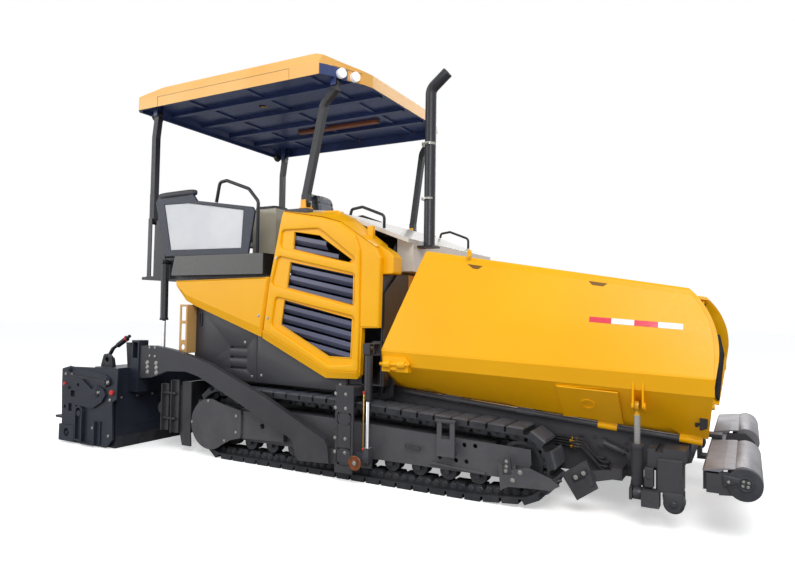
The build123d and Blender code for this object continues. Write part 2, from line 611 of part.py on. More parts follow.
def ram_axis():
    """Unit direction from the hopper cylinder's foot to its eye."""
    dy, dz = RAM_EYE_Y - RAM_FOOT_Y, RAM_EYE_Z - RAM_FOOT_Z
    length = math.hypot(dy, dz)
    return dy / length, dz / length, length


def ram_point(distance):
    dy, dz, _ = ram_axis()
    return (RAM_X, -(RAM_FOOT_Y + dy * distance), RAM_FOOT_Z + dz * distance)


def hopper_barrel():
    """Hopper cylinder barrel with a foot eye, hollow for its rod."""
    half = RAM_FOOT_WIDTH / 2
    body = bar(ram_point(RAM_NECK_LENGTH), ram_point(RAM_BARREL_LENGTH), RAM_BARREL_RADIUS)
    body = body + bar(ram_point(10), ram_point(RAM_NECK_LENGTH + 1), RAM_NECK_RADIUS)
    foot = bar((RAM_X - half, -RAM_FOOT_Y, RAM_FOOT_Z), (RAM_X + half, -RAM_FOOT_Y, RAM_FOOT_Z), RAM_FOOT_RADIUS)
    collar = bar(ram_point(RAM_BARREL_LENGTH - 30), ram_point(RAM_BARREL_LENGTH), RAM_BARREL_RADIUS + 4)
    hole = RAM_PIN_RADIUS + PIN_CLEARANCE
    pin_hole = bar((RAM_X - 60, -RAM_FOOT_Y, RAM_FOOT_Z), (RAM_X + 60, -RAM_FOOT_Y, RAM_FOOT_Z), hole)
    rod_hole = bar(ram_point(60), ram_point(RAM_BARREL_LENGTH + 5), RAM_ROD_RADIUS + PIN_CLEARANCE)
    return body + foot + collar - pin_hole - rod_hole


def hopper_rod():
    """Hopper cylinder rod with its eye and the pin that the eye holds."""
    length = ram_axis()[2]
    rod = bar(ram_point(RAM_ROD_START), ram_point(length - 52), RAM_ROD_RADIUS)
    rod = rod + bar(ram_point(length - 54), ram_point(length - 8), RAM_EYE_WIDTH / 2)
    eye = bar((RAM_X - RAM_EYE_WIDTH / 2, -RAM_EYE_Y, RAM_EYE_Z), (RAM_X + RAM_EYE_WIDTH / 2, -RAM_EYE_Y, RAM_EYE_Z),
              RAM_EYE_RADIUS)
    return rod + eye


def ram_foot_bracket():
    """Clevis on the tractor frame that carries the hopper cylinder's foot pin."""
    pieces = [bar((RAM_X - 52, -RAM_FOOT_Y, RAM_FOOT_Z), (RAM_X + 52, -RAM_FOOT_Y, RAM_FOOT_Z), RAM_PIN_RADIUS)]
    for side in (-1, 1):
        x0, x1 = sorted((RAM_X + side * (RAM_FOOT_WIDTH / 2 + 5), RAM_X + side * 49))
        pieces.append(cross_plate([(-1225, 175), (-1225, 250), (-1170, 262), (-FRAME_OUT - 12, 420),
                                   (-FRAME_OUT - 12, 330), (-1120, 175)], x0, x1))
    pieces.append(block(RAM_X - 110, RAM_X + 110, -FRAME_OUT - 14, -FRAME_OUT, 325, 425))
    return fused(pieces)


keep_pair("hopper_wing", hopper_wing())
keep_pair("wing_flap", wing_flap())
keep_pair("hopper_barrel", hopper_barrel())
keep_pair("hopper_rod", hopper_rod())
foot_bracket = ram_foot_bracket()


# ---------------------------------------------------------------- front end and push rollers
def front_boxes():
    """Frame nose, corner boxes and track ploughs ahead of the tracks."""
    right = [foot_bracket]
    corner = block(2800, 2975, -1190, -FRAME_OUT, 440, 528) + block(2740, 2830, -1190, -FRAME_OUT - 15, 400, 520)
    corner = corner + block(2790, 2900, -1170, -1010, 250, 445)
    right.append(corner - block(2790, 2835, -1200, -900, 500, 560))
    # plough: a tilted square plate on an arm from the frame, with a small ram above it
    plough = side_plate([(2157, 268), (2332, 387), (2413, 199), (2270, 97)], -1165, -1147)
    patch = side_plate([(2318, 300), (2352, 316), (2392, 224), (2360, 206)], -1175, -1164)
    arm = side_plate([(2290, 300), (2560, 345), (2560, 285), (2330, 225)], -1148, -1124)
    post = block(2500, 2570, -1142, -FRAME_OUT, 270, 350)
    right.append(fused([plough, patch, arm, post]))
    ram = bar((2408, -952, 482), (2560, -952, 426), 24) + bar((2550, -952, 430), (2600, -952, 411), 13)
    for x, z in ((2408, 482), (2600, 411)):
        ram = ram + disc(x, z, 30, -966, -938) + disc(x, z, 12, -974, -FRAME_OUT)
    right.append(ram)
    right.append(block(2034, 2050, -942, -FRAME_OUT, 412, 510))
    left = [mirrored(piece) for piece in right]
    return right + left


def push_beam():
    """Cross beam that carries the two push rollers, on a vertical pin at its middle."""
    beam = block(3075, 3175, -1180, 1180, 300, 440)
    for side in (-1, 1):
        for y0 in (PUSH_IN - 36, PUSH_OUT + 2):
            y1 = y0 + 32
            cheek = side_plate([(3170, 300), (3170, 440), (3313, 452), (3383, 382), (3313, 312)],
                               *sorted((side * y0, side * y1)))
            beam = beam + cheek
        beam = beam + block(3100, 3172, side * 1178, side * (PUSH_OUT + 34), 310, 430)
        shaft_in, shaft_out = side * (PUSH_IN - 5), side * (PUSH_OUT + 5)
        beam = beam + disc(PUSH_X, PUSH_Z, 30, *sorted((shaft_in, shaft_out)))
    beam = beam - bar((3110, 0, 280), (3110, 0, 460), 30 + PIN_CLEARANCE)
    return beam


def push_roller():
    """A steel roller that runs on the beam's shaft."""
    roller = disc(PUSH_X, PUSH_Z, PUSH_RADIUS, -PUSH_OUT + 6, -PUSH_IN - 6)
    roller = roller - disc(PUSH_X, PUSH_Z, 30 + PIN_CLEARANCE, -PUSH_OUT - 10, -PUSH_IN + 10)
    return roller


def beam_pin():
    """Forked lug on the frame's front with the push beam's vertical pin."""
    pin = bar((3110, 0, 285), (3110, 0, 470), 30)
    lugs = block(FRAME_FRONT, 3150, -70, 70, 446, 472)
    lugs = lugs + block(FRAME_FRONT, 3150, -70, 70, 268, 294) + block(FRAME_FRONT, FRAME_FRONT + 12, -70, 70, 268, 472)
    web = block(FRAME_FRONT - 20, FRAME_FRONT + 2, -70, 70, 268, 400)
    return fused([pin, lugs, web])


keep("front_boxes", *front_boxes(), beam_pin())
keep("push_beam", push_beam())
keep_pair("push_roller", push_roller())


# ---------------------------------------------------------------- tow points, levelling cylinders, tow arms
def tow_guide():
    """Upright guide plate outside the track, hung from the frame, with the levelling cylinder's bracket."""
    plate = block(GUIDE_X0, GUIDE_X1, -GUIDE_OUT, -GUIDE_OUT + GUIDE_PLATE, GUIDE_Z0, GUIDE_Z1)
    for z in (150, 270, 480, 560):
        for x in (GUIDE_X0 + 35, GUIDE_X1 - 35):
            plate = plate - disc(x, z, 11, -GUIDE_OUT - 5, -GUIDE_OUT + GUIDE_PLATE + 5)
    hanger = block(GUIDE_X0, GUIDE_X1, -GUIDE_OUT + GUIDE_PLATE, -FRAME_OUT, 705, DECK_LOW - 2)
    bracket = block(LEVEL_X - 50, LEVEL_X + 28, -1165, -SHELL_OUT, 1040, 1160)
    for side in (-1, 1):
        y0, y1 = sorted((-LEVEL_Y + side * 24, -LEVEL_Y + side * 38))
        bracket = bracket + block(LEVEL_X - 34, LEVEL_X + 28, y0, y1, LEVEL_TOP - 45, LEVEL_TOP + 38)
    bracket = bracket + block(LEVEL_X - 34, LEVEL_X - 10, -LEVEL_Y + 24, -1160, LEVEL_TOP - 45, LEVEL_TOP + 38)
    bracket = bracket + block(LEVEL_X - 34, LEVEL_X + 28, -LEVEL_Y - 38, -1160, LEVEL_TOP + 34, LEVEL_TOP + 46)
    bracket = bracket + disc(LEVEL_X, LEVEL_TOP, 14, -LEVEL_Y - 38, -LEVEL_Y + 38)
    return [plate + hanger, bracket]


def level_barrel():
    """Levelling cylinder barrel, hung on its top pin."""
    x, y = LEVEL_X, -LEVEL_Y
    barrel = bar((x, y, LEVEL_BARREL_END), (x, y, LEVEL_TOP - 52), 33)
    barrel = barrel + bar((x, y, LEVEL_BARREL_END), (x, y, LEVEL_BARREL_END + 22), 37)
    barrel = barrel + block(x - 14, x + 14, y - 20, y + 20, LEVEL_TOP - 60, LEVEL_TOP)
    barrel = barrel + disc(x, LEVEL_TOP, 30, y - 20, y + 20)
    barrel = barrel - disc(x, LEVEL_TOP, 14 + PIN_CLEARANCE, y - 30, y + 30)
    return barrel - bar((x, y, LEVEL_BARREL_END - 5), (x, y, LEVEL_TOP - 60), 16 + PIN_CLEARANCE)


def tow_point():
    """Sliding tow point behind the guide: block, hitch pin, guide roller and the cylinder's rod."""
    slider = block(300, 640, -1290, -1262, 130, 250)
    pin = disc(TOW_PIN_X, TOW_PIN_Z, TOW_PIN_RADIUS, -1320, -1285)
    foot = block(LEVEL_X - 28, LEVEL_X + 28, -LEVEL_Y - 28, -1265, 180, LEVEL_ROD_END)
    rod = bar((LEVEL_X, -LEVEL_Y, LEVEL_ROD_END - 20), (LEVEL_X, -LEVEL_Y, LEVEL_BARREL_END + 60), 16)
    roller_x, roller_z = 552, 185
    roller = disc(roller_x, roller_z, 38, -1385, -1352) + disc(roller_x, roller_z, 16, -1392, -1285)
    return fused([slider, pin, foot, rod, roller])


def tow_hitch():
    """Round hitch bearing between the tow point's pin and the tow arm."""
    ring = disc(TOW_PIN_X, TOW_PIN_Z, HITCH_RADIUS, -1317, -1296)
    return ring - disc(TOW_PIN_X, TOW_PIN_Z, TOW_PIN_RADIUS + PIN_CLEARANCE, -1330, -1280)


def tow_arm():
    """One tow arm, from the hitch tongue behind the guide to the bolted plate at the screed."""
    outline = [(-2065, 1027), (-1874, 1035), (-1640, 1010), (-1370, 959), (-1106, 889), (-435, 633), (215, 330),
               (251, 278), (267, 137), (-48, 123), (-83, 161), (-112, 274), (-161, 311), (-1083, 699),
               (-1250, 765), (-1420, 802), (-1678, 792), (-1896, 717), (-2041, 702), (-2065, 715)]
    arm = side_plate(outline, -ARM_OUT, -ARM_IN)
    tongue = side_plate([(200, 260), (TOW_PIN_X, TOW_PIN_Z + 58), (TOW_PIN_X, TOW_PIN_Z - 58), (200, 132)],
                        -1317, -1296)
    tongue = tongue + disc(TOW_PIN_X, TOW_PIN_Z, 58, -1317, -1296)
    tongue = tongue - disc(TOW_PIN_X, TOW_PIN_Z, HITCH_RADIUS + PIN_CLEARANCE, -1330, -1280) - arm
    # pin boss for the lift cylinder's eye
    arm = arm + disc(LIFT_EYE_X, LIFT_EYE_Z, 20, -ARM_IN, -LIFT_Y - 35)
    return arm, tongue


guide = tow_guide()
keep("tow_guides", *guide, *[mirrored(piece) for piece in guide])
barrel = level_barrel()
keep("level_barrels", barrel, mirrored(barrel))
point = tow_point()
keep("tow_points", point, mirrored(point))
hitch = tow_hitch()
keep("tow_hitches", hitch, mirrored(hitch))


# ---------------------------------------------------------------- screed
def screed_bracket():
    """Upright bracket that joins a tow arm's rear plate to the main screed."""
    upright = block(-2180, -2070, -ARM_OUT - 15, -1250, 560, 1080)
    upright = upright - block(-2160, -2090, -ARM_OUT - 30, -1200, 900, 1060)
    foot = block(SCREED_FRONT - 5, -2100, -ARM_OUT - 15, -1250, 560, 800)
    lap = block(-2070, -1940, -ARM_IN, -ARM_IN + 20, 740, 1010)
    web = block(-2080, -2065, -ARM_OUT, -1250, 700, 1015)
    return fused([upright, foot, lap, web])


def screed_frame():
    """Main screed: a hollow box with end sleeves for the extensions' guide tubes."""
    body = block(SCREED_FRONT, SCREED_SPLIT, -SCREED_HALF, SCREED_HALF, SOLE_HIGH, SCREED_TOP)
    body = body - block(SCREED_FRONT - SCREED_WALL, SCREED_SPLIT + SCREED_WALL, -SCREED_HALF + 20, SCREED_HALF - 20,
                        SOLE_HIGH - 5, SCREED_TOP - SCREED_WALL)
    body = body - disc(TUBE_X, TUBE_Z, TUBE_RADIUS + 6, -SCREED_HALF - 10, SCREED_HALF + 10)
    for side in (-1, 1):
        sleeve = disc(TUBE_X, TUBE_Z, TUBE_RADIUS + 22, *sorted((side * SCREED_HALF, side * (SCREED_HALF - 260))))
        sleeve = sleeve - disc(TUBE_X, TUBE_Z, TUBE_RADIUS + SEAT_GAP, -SCREED_HALF - 10, SCREED_HALF + 10)
        body = body + sleeve
        bracket = screed_bracket() if side < 0 else mirrored(screed_bracket())
        body = body + bracket
        # lifting lugs on top
        for x in (-2530, -2440):
            lug = side_plate([(x - 45, SCREED_TOP - 2), (x - 22, 890), (x + 22, 890), (x + 45, SCREED_TOP - 2)],
                             *sorted((side * 1400, side * 1376)))
            body = body + (lug - disc(x, 850, 20, -1500, 1500))
    return body


def screed_sole():
    """Bottom plate of the main screed, with its nose turned up at the front."""
    nose = SCREED_FRONT + SOLE_NOSE
    plate = block(SCREED_SPLIT, SCREED_FRONT, -SCREED_HALF, SCREED_HALF, SOLE_LOW, SOLE_HIGH)
    lip = block(SCREED_FRONT, nose, -SCREED_HALF, SCREED_HALF, SOLE_LOW + SOLE_NOSE, SOLE_NOSE_TOP)
    return plate + lip


def walkway():
    """Low footboard behind the screed, hung from arms that pass over the extensions."""
    deck = block(WALK_FRONT, WALK_REAR, -1350, 1350, WALK_Z - 27, WALK_Z)
    for i in range(12):
        y = -1300 + i * 220
        deck = deck - block(WALK_FRONT - 25, WALK_REAR + 30, y, y + 180, WALK_Z - 17, WALK_Z + 8)
    for side in (-1, 1):
        for y in (350, 1000):
            deck = deck + block(SCREED_SPLIT, WALK_FRONT - 25, side * y, side * (y + 60), 728, 762)
            deck = deck + block(WALK_FRONT, WALK_FRONT - 25, side * y, side * (y + 60), WALK_Z - 20, 762)
            deck = deck + side_plate([(WALK_FRONT - 20, WALK_Z - 5), (WALK_FRONT - 20, WALK_Z + 190),
                                      (WALK_FRONT - 190, WALK_Z - 5)], *sorted((side * (y + 25), side * (y + 35))))
    return deck


def screed_extension():
    """One extending screed behind the main one, with its sole, end wall and guide tube."""
    front, rear = SCREED_SPLIT - RUN_GAP, SCREED_REAR
    body = block(front, rear, -SCREED_HALF, -15, SOLE_HIGH - 1, 700)
    body = body - block(front - SCREED_WALL, rear + SCREED_WALL, -SCREED_HALF + 20, -35, SOLE_HIGH + 20, 700 - SCREED_WALL)
    sole = side_plate([(rear, SOLE_LOW), (front - 25, SOLE_LOW), (front, SOLE_HIGH), (rear, SOLE_HIGH)],
                      -SCREED_HALF, -15)
    tube = disc(TUBE_X, TUBE_Z, TUBE_RADIUS, -GATE_OUT + 2, -TUBE_INNER_END)
    seat = block(rear, front, -GATE_OUT + GATE_PLATE, -SCREED_HALF, SOLE_HIGH, 690)
    # a hole through the seat lets the guide tube reach the end wall
    return [fused([body, sole, seat]), tube]


def end_gate():
    """Side plate at the end of an extension, with its parallel links, bosses and vertical guide."""
    outline = [(-2991, 10), (-2284, 10), (-2190, 100), (-2213, 465), (-2150, 500), (-2136, 806), (-2921, 784),
               (-3020, 759), (-3020, 600)]
    face = -GATE_OUT
    plate = side_plate(outline, face, face + GATE_PLATE)
    shoe = side_plate([(-2948, 600), (-2858, 608), (-2782, 650), (-2654, 668), (-2501, 575), (-2432, 622),
                       (-2323, 590), (-2290, 535), (-2348, 458), (-2488, 385), (-2611, 392), (-2749, 400),
                       (-2749, 190), (-2948, 190)], face - 24, face + 1)
    for x0, x1, z0, z1 in ((-2833, -2756, 483, 545), (-2863, -2807, 331, 411)):
        shoe = shoe - block(x0, x1, face - 30, face, z0, z1)
    for x, z in ((-2718, 607), (-2922, 370)):
        shoe = shoe - disc(x, z, 18, face - 30, face)
    link = side_plate([(-2880, 795), (-2310, 735), (-2240, 700), (-2240, 640), (-2300, 612), (-2370, 640),
                       (-2400, 690), (-2871, 722)], face - 14, face + 1)
    pieces = [plate, shoe, link]
    for x, z, radius in ((-2297, 662, 46), (-2430, 553, 50), (-2866, 757, 24), (-2866, 575, 22)):
        pieces.append(disc(x, z, radius, face - 34, face + 1))
        pieces.append(disc(x, z, radius * 0.5, face - 42, face))
    # upright guide with a round top, and the roller in it
    guide = block(-2749, -2629, face - 34, face + 1, 40, 338) + disc(-2689, 338, 60, face - 34, face + 1)
    slot = block(-2731, -2647, face - 40, face - 8, 58, 338) + disc(-2689, 338, 42, face - 40, face - 8)
    pieces.append(guide - slot)
    pieces.append(disc(-2689, 318, 30, face - 30, face))
    # box with a round port, and the angle at the foot
    box = block(-2999, -2760, face - 30, face + 1, 20, 188) - disc(-2876, 108, 44, face - 40, face - 6)
    pieces.append(box + disc(-2876, 108, 16, face - 26, face))
    pieces.append(block(-2442, -2420, face - 40, face + 1, 30, 262) + block(-2442, -2366, face - 12, face + 1, 30, 262))
    pieces.append(block(-2629, -2430, face - 40, face + 1, 18, 36))
    return fused(pieces)


arm, tongue = tow_arm()
keep("tow_arms", arm, tongue, mirrored(arm), mirrored(tongue))
keep("screed_frame", screed_frame())
keep("screed_sole", screed_sole())
keep("screed_walkway", walkway())
extension, guide_tube = screed_extension()
guide_tube = guide_tube - disc(TUBE_X, TUBE_Z, TUBE_RADIUS + 5, -GATE_OUT - 5, -GATE_OUT + GATE_PLATE)
keep("screed_extension_right", extension, guide_tube)
keep("screed_extension_left", mirrored(extension), mirrored(guide_tube))
keep_pair("end_gate", end_gate())


# ---------------------------------------------------------------- lift cylinders
def lift_point(distance):
    """A point down the lift cylinder's line, from its top pin to its eye."""
    dx, dz = LIFT_EYE_X - LIFT_X, LIFT_EYE_Z - LIFT_TOP
    length = math.hypot(dx, dz)
    return (LIFT_X + dx * distance / length, -LIFT_Y, LIFT_TOP + dz * distance / length)


LIFT_LENGTH = math.hypot(LIFT_EYE_X - LIFT_X, LIFT_EYE_Z - LIFT_TOP)
LIFT_BARREL = LIFT_TOP - LIFT_BARREL_END


def lift_barrel():
    """Screed lift cylinder barrel, hung on its top pin."""
    body = bar(lift_point(25), lift_point(LIFT_BARREL), LIFT_BARREL_RADIUS)
    body = body + bar(lift_point(LIFT_BARREL - 24), lift_point(LIFT_BARREL), LIFT_BARREL_RADIUS + 5)
    body = body + disc(LIFT_X, LIFT_TOP, 36, -LIFT_Y - 24, -LIFT_Y + 24)
    body = body - disc(LIFT_X, LIFT_TOP, 20 + PIN_CLEARANCE, -LIFT_Y - 60, -LIFT_Y + 60)
    return body - bar(lift_point(70), lift_point(LIFT_BARREL + 5), LIFT_ROD_RADIUS + PIN_CLEARANCE)


def lift_rod():
    """Screed lift cylinder rod with its lower eye."""
    rod = bar(lift_point(LIFT_BARREL - 230), lift_point(LIFT_LENGTH - 20), LIFT_ROD_RADIUS)
    return rod + disc(LIFT_EYE_X, LIFT_EYE_Z, LIFT_EYE_RADIUS, -LIFT_Y - 24, -LIFT_Y + 24)


lift = lift_barrel()
keep("lift_barrels", lift, mirrored(lift))
rod = lift_rod()
keep("lift_rods", rod, mirrored(rod))


# ---------------------------------------------------------------- augers
def auger():
    """One spreading auger: a shaft with a screw blade."""
    shaft = disc(AUGER_X, AUGER_Z, AUGER_SHAFT, -AUGER_OUT, -AUGER_IN)
    steps_per_turn = 10
    blade_length = AUGER_OUT - AUGER_IN - 60
    step_count = int(steps_per_turn * blade_length / AUGER_PITCH)
    sections = []
    for i in range(step_count + 1):
        turn = 360 * i / steps_per_turn
        y = -AUGER_OUT + 20 + AUGER_PITCH * i / steps_per_turn
        strip = Pos(AUGER_X, y, AUGER_Z) * Rot(0, turn, 0) * Pos((AUGER_RADIUS + 38) / 2, 0, 0)
        sections.append(strip * Rectangle(AUGER_RADIUS - 38, 14))
    blade = loft(sections, ruled=True)
    return shaft + blade


def auger_mounts():
    """Middle gearcase and outer end brackets that carry the augers behind the tractor."""
    gearcase = block(AUGER_X - 80, AUGER_X + 80, -52, 52, 300, 620)
    gearcase = gearcase + block(FRAME_REAR - 250, FRAME_REAR, -TUNNEL_IN, TUNNEL_IN, 560, 640)
    pieces = [gearcase + disc(AUGER_X, AUGER_Z, 20, -AUGER_IN - 40, AUGER_IN + 40)]
    end_in = AUGER_OUT + 14
    face = -end_in - 14
    hanger = side_plate([(-1620, 640), (-1620, 200), (-1580, 60), (-1460, 60), (-1470, 200), (-1470, 690),
                         (-1560, 690)], face, -end_in)
    bearing = disc(AUGER_X, AUGER_Z, 62, face, -end_in) + block(-1880, -1600, face, -end_in, 370, 440)
    bracket = hanger + bearing
    for x0, x1, z0, z1 in ((-1824, -1752, 196, 654), (-1690, -1610, 180, 697)):
        bracket = bracket + block(x0, x1, face - 26, face - 14, z0, z1)
        bracket = bracket + block(x0, x0 + 12, face - 60, face - 14, z0, z1)
        bracket = bracket + block(x0 + 12, x1 - 12, face - 16, face + 1, 380, 430)
    for z in (317, 567):
        bracket = bracket + bar((-1800, face - 40, z), (-1640, face - 40, z), 13)
    bracket = bracket + block(FRAME_REAR - 40, FRAME_REAR, face, -FRAME_OUT + 30, 300, 680)
    bracket = bracket + disc(AUGER_X, AUGER_Z, 20, -end_in, -AUGER_OUT + 40)
    pieces.append(bracket)
    pieces.append(mirrored(bracket))
    return pieces


screw = auger()
for y in (-AUGER_OUT, -AUGER_IN):
    screw = screw - disc(AUGER_X, AUGER_Z, 20 + PIN_CLEARANCE, y - 45, y + 45)
keep_pair("auger", screw)
keep("auger_mounts", *auger_mounts())


# ---------------------------------------------------------------- engine enclosure and panels
def enclosure():
    """Inner body shell between the frame and the operator's platform."""
    top = DECK_TOP - DECK_SHEET
    rear, front = FRAME_REAR + 20, HOPPER_BACK - 5
    pieces = [block(rear, front, -SHELL_OUT, SHELL_OUT, DECK_LOW, DECK_LOW + SHELL_SHEET),
              block(rear, rear + SHELL_SHEET, -SHELL_OUT, SHELL_OUT, DECK_LOW, top)]
    front_wall = cross_plate([(-SHELL_OUT, DECK_LOW), (SHELL_OUT, DECK_LOW), (SHELL_OUT, 1700), (900, 2010),
                              (-900, 2010), (-SHELL_OUT, 1700)], front - SHELL_SHEET, front)
    pieces.append(front_wall)
    for side in (-1, 1):
        y0, y1 = sorted((side * SHELL_OUT, side * (SHELL_OUT - SHELL_SHEET)))
        pieces.append(block(rear, -640, y0, y1, DECK_LOW, top))
        pieces.append(block(-640, 440, y0, y1, DECK_LOW, 900))
        pieces.append(block(-640, -600, *sorted((side * SHELL_OUT, side * (SHELL_OUT - 60))), DECK_LOW, top))
    return fused(pieces)


def lower_panels():
    """Dark service panels under the yellow ones, with three cooling slots."""
    panel = side_plate([(-1480, 1470), (-1480, 780), (-1380, 735), (310, 715), (310, 930), (110, 900), (-600, 1215),
                        (-1500, 1500)], -LOWER_OUT, -SHELL_OUT)
    for z in (1046, 951, 852):
        panel = panel - block(-1036, -830, -LOWER_OUT - 5, -SHELL_OUT + 5, z - 9, z + 9)
    return panel


def rear_panel():
    """Fixed yellow panel behind the louvred door."""
    outline = [(-537, 1716), (-1755, 1690), (-1745, 1640), (-1600, 1490), (-1480, 1440), (-620, 1157)]
    return side_plate(outline, -PANEL_OUT, -LOWER_OUT)


DOOR_OUTLINE = [(-393, 2312), (50, 2234), (245, 2180), (603, 1947), (650, 1860), (640, 1272), (479, 1268),
                (467, 870), (440, 836), (115, 826), (-607, 1149), (-524, 1714)]
DOOR_HINGE_X = -607
# louvre windows of the door, each an outline of (x, z) points
DOOR_WINDOWS = ([(-249, 2117), (24, 2073), (365, 1850), (340, 1828), (-261, 1965)],
                [(-289, 1845), (385, 1714), (383, 1462), (-323, 1616)],
                [(-352, 1501), (379, 1343), (369, 1014), (147, 1016), (-386, 1277)])


def door():
    """Yellow louvred side door, a sheet with turned-in edges."""
    skin = side_plate(DOOR_OUTLINE, -PANEL_OUT, -PANEL_OUT + PANEL_DEPTH)
    middle_x, middle_z = 0, 1550
    inside = [(x + (18 if x < middle_x else -18), z + (16 if z < middle_z else -16)) for x, z in DOOR_OUTLINE]
    skin = skin - side_plate(inside, -PANEL_OUT + PANEL_SHEET, -PANEL_OUT + PANEL_DEPTH + 5)
    for window in DOOR_WINDOWS:
        skin = skin - side_plate(window, -PANEL_OUT - 5, -PANEL_OUT + PANEL_DEPTH)
    return skin


def louvres():
    """Sloping louvre slats behind the door's windows, held by two uprights."""
    slope = math.degrees(math.atan2(131, 674))
    back = -PANEL_OUT + PANEL_SHEET
    pieces = [side_plate([(-450, 1180), (-412, 1180), (-276, 2130), (-310, 2130)], back, back + 30),
              side_plate([(395, 980), (425, 980), (425, 1840), (395, 1840)], back, back + 30)]
    for i in range(12):
        z = 1010 + i * 92
        x0 = -420 + (z - 1180) * 0.143 if z > 1180 else -430 + (1180 - z) * 1.9
        x1 = 410 if z < 1800 else 410 - (z - 1800) * 1.45
        if x1 - x0 < 120:
            continue
        slat = side_plate([(x0, z - 26), (x0, z + 6), (x1, z + 6), (x1, z - 26)], back, back + 10)
        lip = side_plate([(x0, z + 6), (x0, z + 14), (x1, z + 14), (x1, z + 6)], back, back + 26)
        tilt = Pos(0, 0, z) * Rot(0, slope, 0) * Pos(0, 0, -z)
        pieces.append(tilt * (slat + lip))
    return pieces


def shoulder():
    """Yellow shoulder above a door, sloping up from the door's top edge to the hood."""
    rail = []
    for x, z_out, z_in in ((-393, 2318, 2335), (60, 2240, 2320), (245, 2186, 2245), (600, 1955, 1985)):
        rail.append([(x, -PANEL_OUT, z_out), (x, -HOOD_HALF, z_in)])
    solids = []
    for (a, b) in zip(rail, rail[1:]):
        faces = []
        for points in (a, b):
            outer, inner = points[0], points[1]
            outline = [outer, inner, (inner[0], inner[1], inner[2] - 16), (outer[0], outer[1] + 12, outer[2] - 3)]
            faces.append(make_face(Polyline(*outline, close=True)))
        solids.append(loft(faces, ruled=True))
    seat = block(DECK_FRONT - 5, FRONT_PIVOT_X + 46, -POST_Y - 58, -POST_Y + 58, 2200, 2400)
    return fused(solids) - seat


def hood():
    """Grey engine hood, falling towards the hopper."""
    outline = [(DECK_FRONT, 2335), (-200, 2345), (60, 2320), (560, 2130), (HOOD_FRONT, 2040),
               (HOOD_FRONT, 2000), (560, 2090), (60, 2280), (DECK_FRONT, 2298)]
    top = side_plate(outline, -HOOD_HALF, HOOD_HALF)
    skirt = side_plate([(640, 2060), (HOOD_FRONT, 2010), (HOOD_FRONT, 1760), (640, 1760)], -900, 900)
    return top + skirt


def engine():
    """Engine block on the frame."""
    return block(-560, 420, -330, 330, DECK_LOW + SHELL_SHEET, 1560)


keep("engine", engine())
keep("body_shell", enclosure())
lower = lower_panels()
keep("lower_panels", lower, mirrored(lower))
rear = rear_panel()
keep("rear_panels", rear, mirrored(rear))
keep_pair("door", door())
slats = louvres()
keep_pair("louvres", fused(slats))
side_shoulder = shoulder()
keep("shoulders", side_shoulder, mirrored(side_shoulder))
keep("hood", hood())


def exhaust():
    """Upright exhaust pipe with a bent, cut-off tip."""
    x, y = 880, -750
    pipe = bent_bar([(x, y, 1990), (x, y, 3390), (x + 160, y, 3520)], 50, [90])
    pipe = pipe - bent_bar([(x, y, 2100), (x, y, 3390), (x + 175, y, 3532)], 45, [90])
    return pipe + block(HOOD_FRONT, x + 70, y - 75, y + 75, 1975, 1992)


keep("exhaust", exhaust())


# ---------------------------------------------------------------- operator's platform
def post_seat(side):
    """Bracket ahead of the bulkhead, under a front post's foot."""
    reach = POST_SIZE / 2 + LUG_GAP + LUG_PLATE
    return block(DECK_FRONT - 5, FRONT_PIVOT_X + 45, side * (POST_Y - reach), side * (POST_Y + reach),
                 FRONT_FOOT_Z - 56, FRONT_FOOT_Z)


def platform():
    """Operator's deck with its front bulkhead, rear panel and lift cylinder lugs."""
    pieces = [block(DECK_REAR, DECK_FRONT, -DECK_HALF, DECK_HALF, DECK_TOP - DECK_SHEET, DECK_TOP),
              block(DECK_FRONT - 15, DECK_FRONT, -1000, 1000, DECK_TOP - 5, 2335)]
    reach = POST_SIZE / 2 + LUG_GAP + LUG_PLATE
    for side in (-1, 1):
        pieces.append(post_seat(side))
        pieces.append(block(DECK_FRONT - 15, DECK_FRONT, side * 990, side * (POST_Y + reach), 2200, FRONT_FOOT_Z))
        lug_in, lug_out = side * (DECK_HALF - 20), side * DECK_HALF
        pieces.append(block(LIFT_X - 60, LIFT_X + 60, *sorted((lug_in, lug_out)), DECK_TOP - 10, LIFT_TOP + 45))
        pieces.append(disc(LIFT_X, LIFT_TOP, 20, *sorted((lug_out - side * 5, side * (LIFT_Y + 45)))))
        # side wall behind the console
        pieces.append(block(-2130, -1990, *sorted((side * (DECK_HALF - 20), side * DECK_HALF)), DECK_TOP - 5, 2330))
    pieces.append(block(DECK_REAR, DECK_REAR + 20, -1000, 1000, DECK_TOP - DECK_SHEET, 2050))
    return fused(pieces)


def side_console():
    """Long box along the platform's side."""
    return side_plate([(-1770, 1760), (-1730, CONSOLE_TOP), (-575, CONSOLE_TOP), (-575, DECK_TOP), (-1760, DECK_TOP)],
                      -CONSOLE_OUT, -CONSOLE_IN)


def side_shield():
    """Frame of the side windbreak above the console."""
    outline = [(-2026, 2500), (-1980, 2562), (-1500, 2550), (-1440, 2480), (-720, 2372), (-690, 2330), (-760, CONSOLE_TOP),
               (-1860, CONSOLE_TOP), (-1900, 2010)]
    frame = side_plate(outline, -CONSOLE_OUT, -CONSOLE_OUT + 24)
    return frame - side_plate(PANE_OUTLINE, -CONSOLE_OUT - 5, -CONSOLE_OUT + 30)


PANE_OUTLINE = [(-1900, 2470), (-1560, 2465), (-830, 2350), (-850, 1990), (-1790, 2000)]


def pane():
    """Frosted pane in the windbreak."""
    return side_plate(PANE_OUTLINE, -CONSOLE_OUT + 8, -CONSOLE_OUT + 16)


def cupboard():
    """Control cupboard inside the windbreak, with a padded top."""
    return block(-940, -655, -985, -760, DECK_TOP, 2395)


